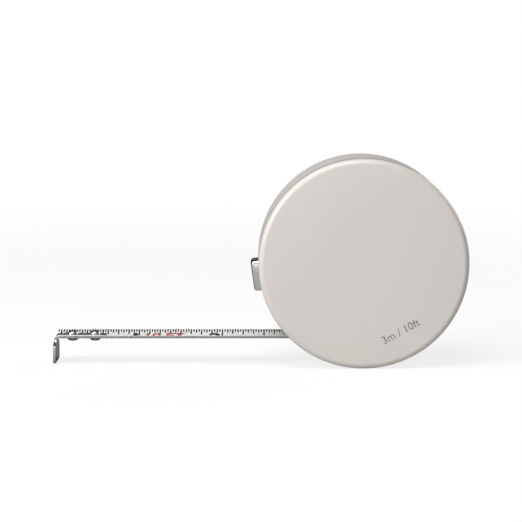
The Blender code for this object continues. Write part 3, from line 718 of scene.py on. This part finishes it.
# Scale.  Graduations printed along the blade's far edge in thirty-seconds of an inch, longer at
# each sixteenth, eighth, quarter and half, with a line right across at every inch.  The zero is
# the outer face of the hook.
INCH = 25.4 * MM
SCALE_LENGTH = blade_high.x - hook_low.x
EDGE_MARGIN = 0.1 * MM
HALF_ARC = math.asin(BLADE_WIDTH / 2 / BLADE_CURVE) * BLADE_CURVE - EDGE_MARGIN
GRADUATIONS = (
    # first mark and pitch in inches, mark length, line width
    (1 / 32, 1 / 16, 1.4 * MM, 0.42 * MM),
    (1 / 16, 1 / 8, 2.0 * MM, 0.42 * MM),
    (1 / 8, 1 / 4, 2.9 * MM, 0.42 * MM),
    (1 / 4, 1 / 2, 3.3 * MM, 0.42 * MM),
    (1 / 2, 1.0, 4.2 * MM, 0.44 * MM),
    (1.0, 1.0, 2 * HALF_ARC, 0.4 * MM),
)


def make_graduation_tree(ink):
    """Geometry nodes: one row of marks, bent to the blade's section and added to what is there."""
    tree, given, result = new_group(
        "graduation_row", "GeometryNodeTree",
        [("Geometry", "Geometry", None), ("First", "Float", 0.0),
         ("Pitch", "Float", 0.01), ("Count", "Int", 10),
         ("Length", "Float", 0.002), ("Width", "Float", 0.0002),
         ("Far Edge", "Float", 0.006), ("Curve Radius", "Float", 0.014),
         ("Curve Height", "Float", 0.02), ("Lift", "Float", 0.00002)],
        [("Geometry", "Geometry")])
    start = add_node(tree, "ShaderNodeCombineXYZ", {0: given["First"]})
    step = add_node(tree, "ShaderNodeCombineXYZ", {0: given["Pitch"]})
    line = add_node(tree, "GeometryNodeMeshLine",
                    {"Count": given["Count"], "Start Location": start.outputs[0],
                     "Offset": step.outputs[0]})
    mark = add_node(tree, "GeometryNodeMeshGrid",
                    {"Size X": given["Width"], "Size Y": given["Length"],
                     "Vertices X": 2, "Vertices Y": 9})
    drop = maths(tree, "MULTIPLY_ADD", given["Length"], -0.5, given["Far Edge"])
    aside = add_node(tree, "ShaderNodeCombineXYZ", {1: drop})
    shifted = add_node(tree, "GeometryNodeTransform",
                       {"Geometry": mark.outputs["Mesh"], "Translation": aside.outputs[0]})
    marks = add_node(tree, "GeometryNodeInstanceOnPoints",
                     {"Points": line.outputs[0], "Instance": shifted.outputs[0]})
    real = add_node(tree, "GeometryNodeRealizeInstances", {0: marks.outputs[0]})
    here = add_node(tree, "ShaderNodeSeparateXYZ",
                    {0: add_node(tree, "GeometryNodeInputPosition").outputs[0]})
    turn = maths(tree, "DIVIDE", here.outputs[1], given["Curve Radius"])
    radius = maths(tree, "SUBTRACT", given["Curve Radius"], given["Lift"])
    across = maths(tree, "MULTIPLY", radius, maths(tree, "SINE", turn))
    fall = maths(tree, "MULTIPLY", radius, maths(tree, "COSINE", turn))
    height = maths(tree, "SUBTRACT", given["Curve Height"], fall)
    bent_place = add_node(tree, "ShaderNodeCombineXYZ", {0: here.outputs[0], 1: across, 2: height})
    bent = add_node(tree, "GeometryNodeSetPosition",
                    {"Geometry": real.outputs[0], "Position": bent_place.outputs[0]})
    inked = add_node(tree, "GeometryNodeSetMaterial", {"Geometry": bent.outputs[0], "Material": ink})
    joined = add_node(tree, "GeometryNodeJoinGeometry")
    tree.links.new(inked.outputs[0], joined.inputs[0])
    tree.links.new(given["Geometry"], joined.inputs[0])
    tree.links.new(joined.outputs[0], result.inputs[0])
    return tree


def set_inputs(modifier, values):
    """Fill a Geometry Nodes modifier's named inputs."""
    for item in modifier.node_group.interface.items_tree:
        if item.in_out == "INPUT" and item.name in values:
            modifier[item.identifier] = values[item.name]


def make_scale(ink):
    """All rows of graduations as one thin mesh on the blade."""
    piece = placed("blade_graduations", bmesh.new())
    tree = make_graduation_tree(ink)
    for first, pitch, length, width in GRADUATIONS:
        row = piece.modifiers.new("row", "NODES")
        row.node_group = tree
        count = int((SCALE_LENGTH / INCH - first) / pitch) + 1
        set_inputs(row, {
            "First": hook_low.x + first * INCH, "Pitch": pitch * INCH, "Count": count,
            "Length": length, "Width": width, "Far Edge": HALF_ARC,
            "Curve Radius": BLADE_CURVE - BLADE_THICKNESS / 2, "Curve Height": BLADE_MIDDLE,
            "Lift": PRINT_THICKNESS})
    return baked(piece)


BLACK_INK = make_ink("scale_black", (0.012, 0.012, 0.013), 0.38)
scale = coated(make_scale(BLACK_INK), BLACK_INK, None, "blade_enamel")
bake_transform(scale)


# Figures.  Bold inch numbers, each just before its line, and the length of the tape in red after
# the first inch.  They are printed with the scale, so they follow the blade's trough.
FIGURE_HEIGHT = 5.2 * MM
FIGURE_TOP = 2.25 * MM
FIGURE_STRETCH = 1.05
FIGURE_GAP = 0.4 * MM
LENGTH_HEIGHT = 4.0 * MM
LENGTH_START = 2.3 * MM
FIGURE_BOLDNESS = 0.045
LENGTH_BOLDNESS = 0.03
SLICES = 14  # cuts across the letters, so that they can bend with the blade


def printed_on_blade(letters, left, right, top):
    """Lay letters on the blade, from one x or up to another, their tops set in from the far edge."""
    for cut in range(SLICES):
        spot = -FIGURE_HEIGHT + 2 * cut * FIGURE_HEIGHT / SLICES
        bmesh.ops.bisect_plane(letters, geom=letters.verts[:] + letters.edges[:] + letters.faces[:],
                               plane_co=(0.0, spot, 0.0), plane_no=(0.0, 1.0, 0.0))
    bmesh.ops.triangulate(letters, faces=letters.faces[:])
    low = min(v.co.x for v in letters.verts)
    high = max(v.co.x for v in letters.verts)
    peak = max(v.co.y for v in letters.verts)
    shift = left - low if left is not None else right - high
    for vert in letters.verts:
        vert.co = on_blade(vert.co.x + shift, vert.co.y - peak + HALF_ARC - top,
                           PRINT_THICKNESS + vert.co.z)
    bmesh.ops.recalc_face_normals(letters, faces=letters.faces)
    return letters


def make_figures():
    """The inch numbers along the straight of the blade, in one mesh."""
    together = bmesh.new()
    for inch in range(1, int(SCALE_LENGTH / INCH) + 1):
        line = hook_low.x + inch * INCH
        figure = thickened(lettered(str(inch), FIGURE_HEIGHT, FIGURE_BOLDNESS, FIGURE_STRETCH),
                           PRINT_THICKNESS / 2)
        printed = printed_on_blade(figure, None, line - FIGURE_GAP, FIGURE_TOP)
        mesh = bpy.data.meshes.new("figure")
        printed.to_mesh(mesh)
        printed.free()
        together.from_mesh(mesh)
    return placed("inch_figures", together)


figures = coated(make_figures(), BLACK_INK, None, "blade_enamel")
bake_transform(figures)
length_letters = thickened(lettered("10 FT", LENGTH_HEIGHT, LENGTH_BOLDNESS), PRINT_THICKNESS / 2)
length_start = hook_low.x + INCH + LENGTH_START
length_mark = placed("length_mark", printed_on_blade(length_letters, length_start, None, FIGURE_TOP))
coated(length_mark, make_ink("scale_red", (0.42, 0.06, 0.07), 0.4), None, "blade_enamel")
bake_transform(length_mark)


# End hook.  Stamped steel, nickel plated and polished: a narrow tongue that lies in the blade's
# trough, a tight bend and a wider leg with cut shoulders.  Two slots let it slide by its own
# thickness on the rivets, so that inside and outside measurements both read true.
HOOK_THICKNESS = 0.8 * MM
HOOK_SHOULDER = 1.4 * MM
TONGUE_HALF = 2.2 * MM
HOOK_STEPS = 10
HOOK_EDGE = 0.13 * MM
HOOK_CREASE = 50.0
LEAST_ROUGHNESS = 0.03


def make_hook():
    """Ribbon through the bend with rounded edges, and a slot for each rivet."""
    outside = hook_low.x
    top = hook_high.z
    foot = hook_low.z
    bend = 2 * HOOK_THICKNESS
    leg_half = (hook_high.y - hook_low.y) / 2
    loops = []

    def station(outer, inner, half):
        loops.append([Vector((outer[0], -half, outer[1])), Vector((outer[0], half, outer[1])),
                      Vector((inner[0], half, inner[1])), Vector((inner[0], -half, inner[1]))])

    for step in range(1, HOOK_STEPS + 1):
        turn = math.pi / 2 * (step - 0.4) / (HOOK_STEPS - 0.4)
        x = hook_high.x - TONGUE_HALF * (1 - math.cos(turn))
        station((x, top), (x, top - HOOK_THICKNESS), TONGUE_HALF * math.sin(turn))
    centre = (outside + bend, top - bend)
    near = bend - HOOK_THICKNESS
    for step in range(HOOK_STEPS + 1):
        turn = math.pi / 2 * step / HOOK_STEPS
        station((centre[0] - bend * math.sin(turn), centre[1] + bend * math.cos(turn)),
                (centre[0] - near * math.sin(turn), centre[1] + near * math.cos(turn)), TONGUE_HALF)
    corner = HOOK_SHOULDER / 2
    shoulder = centre[1] - HOOK_SHOULDER
    for z, half in ((centre[1] - HOOK_SHOULDER * 0.12, TONGUE_HALF + corner * 0.1),
                    (shoulder + HOOK_SHOULDER * 0.1, leg_half - corner * 0.3), (shoulder, leg_half),
                    (foot + corner, leg_half), (foot + corner * 0.5, leg_half - corner * 0.13),
                    (foot + corner * 0.13, leg_half - corner * 0.5), (foot, leg_half - corner)):
        station((outside, z), (outside + HOOK_THICKNESS, z), half)
    hook = placed("hook_plate", lofted(loops))
    edge = hook.modifiers.new("edges", "BEVEL")
    edge.width = HOOK_EDGE
    edge.segments = 3
    edge.limit_method = "ANGLE"
    edge.angle_limit = math.radians(HOOK_CREASE)
    baked(hook)
    for place in RIVET_PLACES:
        outline = arc((0.0, 0.0), SLOT_HALF, 90, 270, 10)
        outline += [(x + HOOK_THICKNESS, y) for x, y in arc((0.0, 0.0), SLOT_HALF, -90, 90, 10)]
        slot = [[Vector((place.x + x, y, z)) for x, y in outline] for z in (top - 2 * MM, top + MM)]
        shaped(hook, lofted(slot))
    return smoothed(hook)


def make_polish_group():
    """Fine straight polishing lines and dulled patches for plated metal."""
    tree, given, result = new_group(
        "polish_lines", "ShaderNodeTree",
        [("Place", "Vector", None), ("Stretch", "Vector", (1.0, 1.0, 1.0)),
         ("Line Scale", "Float", 4000.0), ("Roughness", "Float", 0.15),
         ("Line Amount", "Float", 0.1), ("Patch Amount", "Float", 0.1)],
        [("Roughness", "Float"), ("Height", "Float"),
         ("Tarnish", "Float")])
    stretched = add_node(tree, "ShaderNodeVectorMath",
                         {0: given["Place"], 1: given["Stretch"]},
                         operation="MULTIPLY").outputs[0]
    lines = noise(tree, stretched, given["Line Scale"], 4.0, 0.7)
    patch = noise(tree, given["Place"], 350.0, 3.0)
    fine = maths(tree, "MULTIPLY", maths(tree, "SUBTRACT", lines, 0.5), given["Line Amount"])
    wide = maths(tree, "MULTIPLY", maths(tree, "SUBTRACT", patch, 0.5), given["Patch Amount"])
    rough = maths(tree, "ADD", given["Roughness"], maths(tree, "ADD", fine, wide))
    fill(tree, result, {"Roughness": maths(tree, "MAXIMUM", rough, LEAST_ROUGHNESS),
                        "Height": lines, "Tarnish": patch})
    return tree


POLISH_LINES = make_polish_group()


def make_metal(name, colour, roughness, stretch, line_amount=0.08):
    """Plated or polished metal with lines along one direction and slightly duller patches."""
    made, tree, shader, place = new_finish(name)
    polish = add_group(tree, POLISH_LINES, {"Place": place, "Stretch": stretch,
                                            "Roughness": roughness, "Line Amount": line_amount})
    duller = tuple(part * 0.82 for part in colour)
    tint = tinted(tree, polish.outputs["Tarnish"], (*colour, 1.0), (*duller, 1.0))
    fill(tree, shader, {"Base Color": tint, "Roughness": polish.outputs["Roughness"],
                        "Metallic": 1.0})
    bumped(tree, shader, polish.outputs["Height"], 0.0015 * MM)
    return made


HOOK_NICKEL = make_metal("hook_nickel", (0.72, 0.71, 0.69), 0.16, (1.0, 0.06, 1.0))
coated(make_hook(), HOOK_NICKEL, "hook", "hook_plate", "end_hook")


# Rivets.  Two steel rivets through the blade, set with a tall dome above the tongue and a low
# dome under the blade.  Their shanks are what the hook slides on.
RIVET_HEAD = 1.65 * MM
RIVET_SHANK = 1.0 * MM
RIVET_TOP = 1.1 * MM
RIVET_BOTTOM = 0.75 * MM


def make_one_rivet():
    """One rivet about the origin, its middle at half its height."""
    low_corner, high_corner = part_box("hook_rivet_outer")
    half = (high_corner.z - low_corner.z) / 2
    lower = RIVET_BOTTOM - half
    upper = half - RIVET_TOP
    outline = [(0.0, -half)]
    for step in range(1, 9):
        turn = math.pi / 2 * step / 8
        outline.append((RIVET_HEAD * math.sin(turn), lower - RIVET_BOTTOM * math.cos(turn)))
    outline += [(RIVET_SHANK, lower), (RIVET_SHANK, upper)]
    for step in range(8, 0, -1):
        turn = math.pi / 2 * step / 8
        outline.append((RIVET_HEAD * math.sin(turn), upper + RIVET_TOP * math.cos(turn)))
    outline.append((0.0, half))
    return placed("rivet_pattern", turned(outline, 32, upright=True))


def make_fastener_tree(metal):
    """Geometry nodes: a copy of one fastener at each point, each turned its own way."""
    tree, given, result = new_group(
        "fasteners", "GeometryNodeTree",
        [("Geometry", "Geometry", None), ("Fastener", "Object", None),
         ("Turn Axis", "Vector", (0.0, 0.0, 1.0)), ("Seed", "Int", 3)],
        [("Geometry", "Geometry")])
    pattern = add_node(tree, "GeometryNodeObjectInfo", {"Object": given["Fastener"]})
    angle = add_node(tree, "FunctionNodeRandomValue",
                     {2: 0.0, 3: 2 * math.pi, "Seed": given["Seed"]}, data_type="FLOAT")
    turn = add_node(tree, "FunctionNodeAxisAngleToRotation",
                    {"Axis": given["Turn Axis"], "Angle": angle.outputs[1]})
    copies = add_node(tree, "GeometryNodeInstanceOnPoints",
                      {"Points": given["Geometry"],
                       "Instance": pattern.outputs["Geometry"], "Rotation": turn.outputs[0]})
    real = add_node(tree, "GeometryNodeRealizeInstances", {0: copies.outputs[0]})
    plated = add_node(tree, "GeometryNodeSetMaterial", {"Geometry": real.outputs[0], "Material": metal})
    tree.links.new(plated.outputs[0], result.inputs[0])
    return tree


def fastened(name, places, pattern, tree, axis, seed):
    """Copies of a fastener at each place, as one plain mesh."""
    points = bmesh.new()
    for place in places:
        points.verts.new(place)
    piece = placed(name, points)
    copies = piece.modifiers.new("copies", "NODES")
    copies.node_group = tree
    set_inputs(copies, {"Fastener": pattern, "Turn Axis": axis, "Seed": seed})
    baked(piece)
    bpy.data.objects.remove(pattern)
    return smoothed(piece)


PLATED_STEEL = make_metal("plated_steel", (0.60, 0.60, 0.60), 0.2, (1.0, 1.0, 1.0), 0.12)
rivets = fastened("hook_rivets", RIVET_PLACES, make_one_rivet(), make_fastener_tree(PLATED_STEEL),
                  (0.0, 0.0, 1.0), 3)
coated(rivets, PLATED_STEEL, "tape", "plated_steel", "hook_rivet_outer", "hook_rivet_inner")


# Lock button.  Die-cast zinc, polished bright, standing proud of the rim just above the mouth.
# Its flange stops it from falling out, and pressing it lifts the brake off the drum.
BUTTON_PROUD = 2.1 * MM
BUTTON_DEPTH = 5.8 * MM
BUTTON_ROUND = 0.9 * MM
BUTTON_FLANGE = 1.3 * MM
BUTTON_CORNER = 1.1 * MM
LEAST_CORNER = 0.3 * MM
BUTTON_CHAMFER = 0.4 * MM
FLANGE_CORNER = 0.8 * MM
NOMINAL_RADIUS = 31.25 * MM  # of the rim, where CASE_RADIUS is measured across its flats


def make_button():
    """Cushioned block with a slightly crowned face and a stop flange."""
    half_width = BUTTON_WIDTH / 2
    half_height = BUTTON_HEIGHT / 2
    face = NOMINAL_RADIUS + BUTTON_PROUD
    stations = [(face - BUTTON_DEPTH, 0.45 * BUTTON_ROUND), (face - BUTTON_DEPTH + BUTTON_CHAMFER, 0.0)]
    for step in range(9):
        turn = math.pi / 2 * step / 8
        stations.append((face - BUTTON_ROUND * (1 - math.sin(turn)), BUTTON_ROUND * (1 - math.cos(turn))))
    rows = []
    for x, inset in stations:
        corner = max(BUTTON_CORNER - inset * 0.5, LEAST_CORNER)
        points = rounded_frame(half_width - inset, half_height - inset, corner, 6)
        rows.append([AXIS + Vector((-x, across, up)) for across, up in points])
    body = placed("button_cap", along_button(lofted(rows)))
    inner = CASE_RADIUS - CASE_WALL
    high = half_height + BUTTON_FLANGE
    wide = half_width + BUTTON_FLANGE
    stop = math.sqrt((inner - FIT_GAP) ** 2 - high ** 2)
    flange = boxed((-stop, BUTTON_FLANGE - stop), (-wide, wide), (-high, high),
                   FLANGE_CORNER)
    shaped(body, along_button(flange), "UNION")
    return smoothed(body)


BUTTON_METAL = make_metal("button_metal", (0.66, 0.66, 0.67), 0.13, (1.0, 1.0, 0.08), 0.05)
coated(make_button(), BUTTON_METAL, "button", "button_metal", "lock_button")


# Case screws.  Three small plated self-tapping screws with cross recesses, driven from the back
# into the front shell's bosses and sunk just below the surface.
SCREW_HEAD = 1.8 * MM
SCREW_SHANK = 0.8 * MM
SCREW_HEAD_HEIGHT = 0.9 * MM
THREAD_PITCH = 0.8 * MM
TIP_LENGTH = 0.8 * MM
CROSS_DEPTH = 0.62 * MM
CROSS_TAPER = 0.62
CROSS_CORNER = 0.1 * MM


def make_one_screw():
    """One screw along Y with its head's top at the box's far end, about its own middle."""
    low_corner, high_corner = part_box("case_screw_1")
    half = (high_corner.y - low_corner.y) / 2
    floor = half - SCREW_HEAD_HEIGHT
    outline = [(0.0, -half), (SCREW_SHANK * 0.35, -half + SCREW_ROUND)]
    height = -half + TIP_LENGTH
    while height < floor - THREAD_PITCH:
        outline += [(SCREW_SHANK * 0.74, height), (SCREW_SHANK, height + THREAD_PITCH * 0.4)]
        height += THREAD_PITCH * 0.8
    outline += [(SCREW_SHANK * 0.8, floor), (SCREW_HEAD, floor + SCREW_HEAD_HEIGHT / 2)]
    outline += arc((SCREW_HEAD - SCREW_ROUND, half - SCREW_ROUND), SCREW_ROUND, 0, 90, 4)
    outline += [(SCREW_HEAD * 0.5, half), (0.0, half)]
    screw = placed("screw_pattern", turned(outline, 40))
    arm = SCREW_HEAD * 0.6
    blade_half = SCREW_HEAD * 0.15
    for across, up in ((arm, blade_half), (blade_half, arm)):
        points = rounded_frame(across, up, CROSS_CORNER, 3)
        top = [Vector((x, half + 0.1 * MM, z)) for x, z in points]
        bottom = [Vector((x * CROSS_TAPER, half - CROSS_DEPTH, z * CROSS_TAPER)) for x, z in points]
        shaped(screw, lofted([top, bottom]))
    return screw


screw_places = []
for number in (1, 2, 3):
    low_corner, high_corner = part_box(f"case_screw_{number}")
    screw_places.append((low_corner + high_corner) / 2)
screws = fastened("back_screws", screw_places, make_one_screw(), make_fastener_tree(PLATED_STEEL),
                  (0.0, 1.0, 0.0), 5)
coated(screws, PLATED_STEEL, "case", "plated_steel", "case_screw_1", "case_screw_2", "case_screw_3")


# Movement.  What the case hides: the chassis plate with its post, the white drum and cover that
# carry the coiled blade and the mainspring, and the brake lever with its shoe, pin and spring.
# These keep their CAD shapes and take real finishes.
WHITE_PLASTIC = make_plastic("white_plastic", (0.72, 0.72, 0.69), 0.4, 0.01 * MM)
SPRING_STEEL = make_metal("spring_steel", (0.24, 0.245, 0.27), 0.3, (1.0, 0.05, 1.0), 0.15)
inner_finishes = {
    "chassis": BLACK_PLASTIC, "brake_lever": BLACK_PLASTIC, "drum": WHITE_PLASTIC,
    "drum_cover": WHITE_PLASTIC, "tape_coil": BLADE_ENAMEL, "mainspring": SPRING_STEEL,
    "lever_spring": SPRING_STEEL, "brake_pad": BLACK_RUBBER, "spring_post": PLATED_STEEL,
    "hub_washer": PLATED_STEEL, "hub_screw": PLATED_STEEL, "lever_pin": PLATED_STEEL,
}
for node, finish in inner_finishes.items():
    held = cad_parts[node]
    held.data.materials.clear()
    held.data.materials.append(finish)


# Floor.  A wide sheet of matt white laminate that the tape stands on.  The camera sees it brighter
# than it lights, and mirror reflections see it dimmer behind the tape, to keep the metals from
# washing out.
FLOOR_SIZE = 8.0
FLOOR_BOUNCE = (0.5, 0.5, 0.5, 1.0)
FLOOR_DIM = (0.17, 0.17, 0.17, 1.0)
DIM_START = -0.016
DIM_END = -0.006
FLOOR_SEEN = (0.9, 0.9, 0.9, 1.0)
FLOOR_LIFT = 0.8
FADE_START = 0.12
FADE_END = 0.6


def make_floor_finish():
    """White laminate that fades into the bright surround and throws little light back."""
    made, tree, shader, place = new_finish("floor_white")
    light_path = add_node(tree, "ShaderNodeLightPath")
    ray = light_path.outputs["Is Camera Ray"]
    along = add_node(tree, "ShaderNodeSeparateXYZ", {0: place}).outputs["Y"]
    behind = add_node(tree, "ShaderNodeMapRange",
                      {"Value": along, "From Min": DIM_START, "From Max": DIM_END},
                      interpolation_type="SMOOTHSTEP").outputs[0]
    reflected = maths(tree, "MULTIPLY", light_path.outputs["Is Glossy Ray"], behind)
    bounce = tinted(tree, reflected, FLOOR_BOUNCE, FLOOR_DIM)
    shade = tinted(tree, ray, bounce, FLOOR_SEEN)
    grain = add_group(tree, SURFACE_GRAIN, {
        "Place": place, "Colour": shade, "Cloud Scale": 2.0, "Cloud Amount": 0.01,
        "Grain Scale": 800.0, "Roughness": 0.85, "Roughness Spread": 0.05})
    fill(tree, shader, {"Base Color": grain.outputs["Colour"],
                        "Roughness": grain.outputs["Roughness"], "Specular IOR Level": 0.1})
    glow = add_node(tree, "ShaderNodeEmission", {"Color": (1.0, 1.0, 1.0, 1.0), "Strength": 1.0})
    distance = add_node(tree, "ShaderNodeVectorMath", {0: place}, operation="LENGTH").outputs["Value"]
    fade = add_node(tree, "ShaderNodeMapRange",
                    {"Value": distance, "From Min": FADE_START, "From Max": FADE_END,
                     "To Min": FLOOR_LIFT, "To Max": 1.0}, interpolation_type="SMOOTHSTEP").outputs[0]
    seen = maths(tree, "MULTIPLY", fade, ray)
    blend = add_node(tree, "ShaderNodeMixShader", {0: seen, 1: shader.outputs[0], 2: glow.outputs[0]})
    tree.links.new(blend.outputs[0], tree.nodes["Material Output"].inputs["Surface"])
    return made


floor_shape = bmesh.new()
bmesh.ops.create_grid(floor_shape, x_segments=2, y_segments=2, size=FLOOR_SIZE / 2)
floor = placed("floor", floor_shape)
floor.data.materials.append(make_floor_finish())


# Studio.  Broad softboxes on the left and overhead, a weak one on the right, one behind for the
# far side and a card in front, with a bright surround that only the camera sees in full.
SOFTBOXES = (
    # name, place and side in metres, power in watts
    ("softbox_left", (-0.62, -0.42, 0.36), 0.5, 4.75),
    ("softbox_top", (-0.15, -0.27, 0.75), 0.5, 4.5),
    ("softbox_right", (0.7, -0.8, 0.35), 0.4, 0.4),
    ("softbox_back", (0.75, 0.62, 0.4), 0.5, 4.0),
    ("front_card", (-0.05, -0.95, 0.2), 0.45, 0.85),
)
SKY_SEEN = 1.0
SKY_LIGHT = 0.09
for name, place, side, power in SOFTBOXES:
    lamp = bpy.data.lights.new(name, "AREA")
    lamp.shape = "SQUARE"
    lamp.size = side
    lamp.energy = power
    softbox = in_scene(name, lamp)
    softbox.location = place
    softbox.rotation_euler = (AXIS - Vector(place)).to_track_quat("-Z", "Y").to_euler()

world = bpy.data.worlds.new("studio")
world.use_nodes = True
sky = world.node_tree.nodes["Background"]
to_camera = add_node(world.node_tree, "ShaderNodeLightPath")
strength = maths(world.node_tree, "MULTIPLY_ADD", to_camera.outputs["Is Camera Ray"],
                 SKY_SEEN - SKY_LIGHT, SKY_LIGHT)
fill(world.node_tree, sky, {"Color": (1.0, 1.0, 1.0, 1.0), "Strength": strength})
bpy.context.scene.world = world
bpy.context.scene.view_settings.view_transform = "Standard"


# Camera.  A long lens straight in front of the blade, a little above the case.
FOCAL_LENGTH = 133.4  # millimetres
CAMERA_PLACE = (-0.0324, -0.5803, 0.0689)  # metres from the case axis
CAMERA_DOWN = 0.119  # radians below level
CAMERA_ASIDE = -0.0034
lens = bpy.data.cameras.new("camera")
lens.sensor_width = 36.0
lens.lens = FOCAL_LENGTH
lens.clip_start = 0.01
camera = in_scene("camera", lens)
camera.location = (AXIS.x + CAMERA_PLACE[0], CAMERA_PLACE[1], AXIS.z + CAMERA_PLACE[2])
camera.rotation_euler = (math.pi / 2 - CAMERA_DOWN, 0.0, CAMERA_ASIDE)
bpy.context.scene.camera = camera
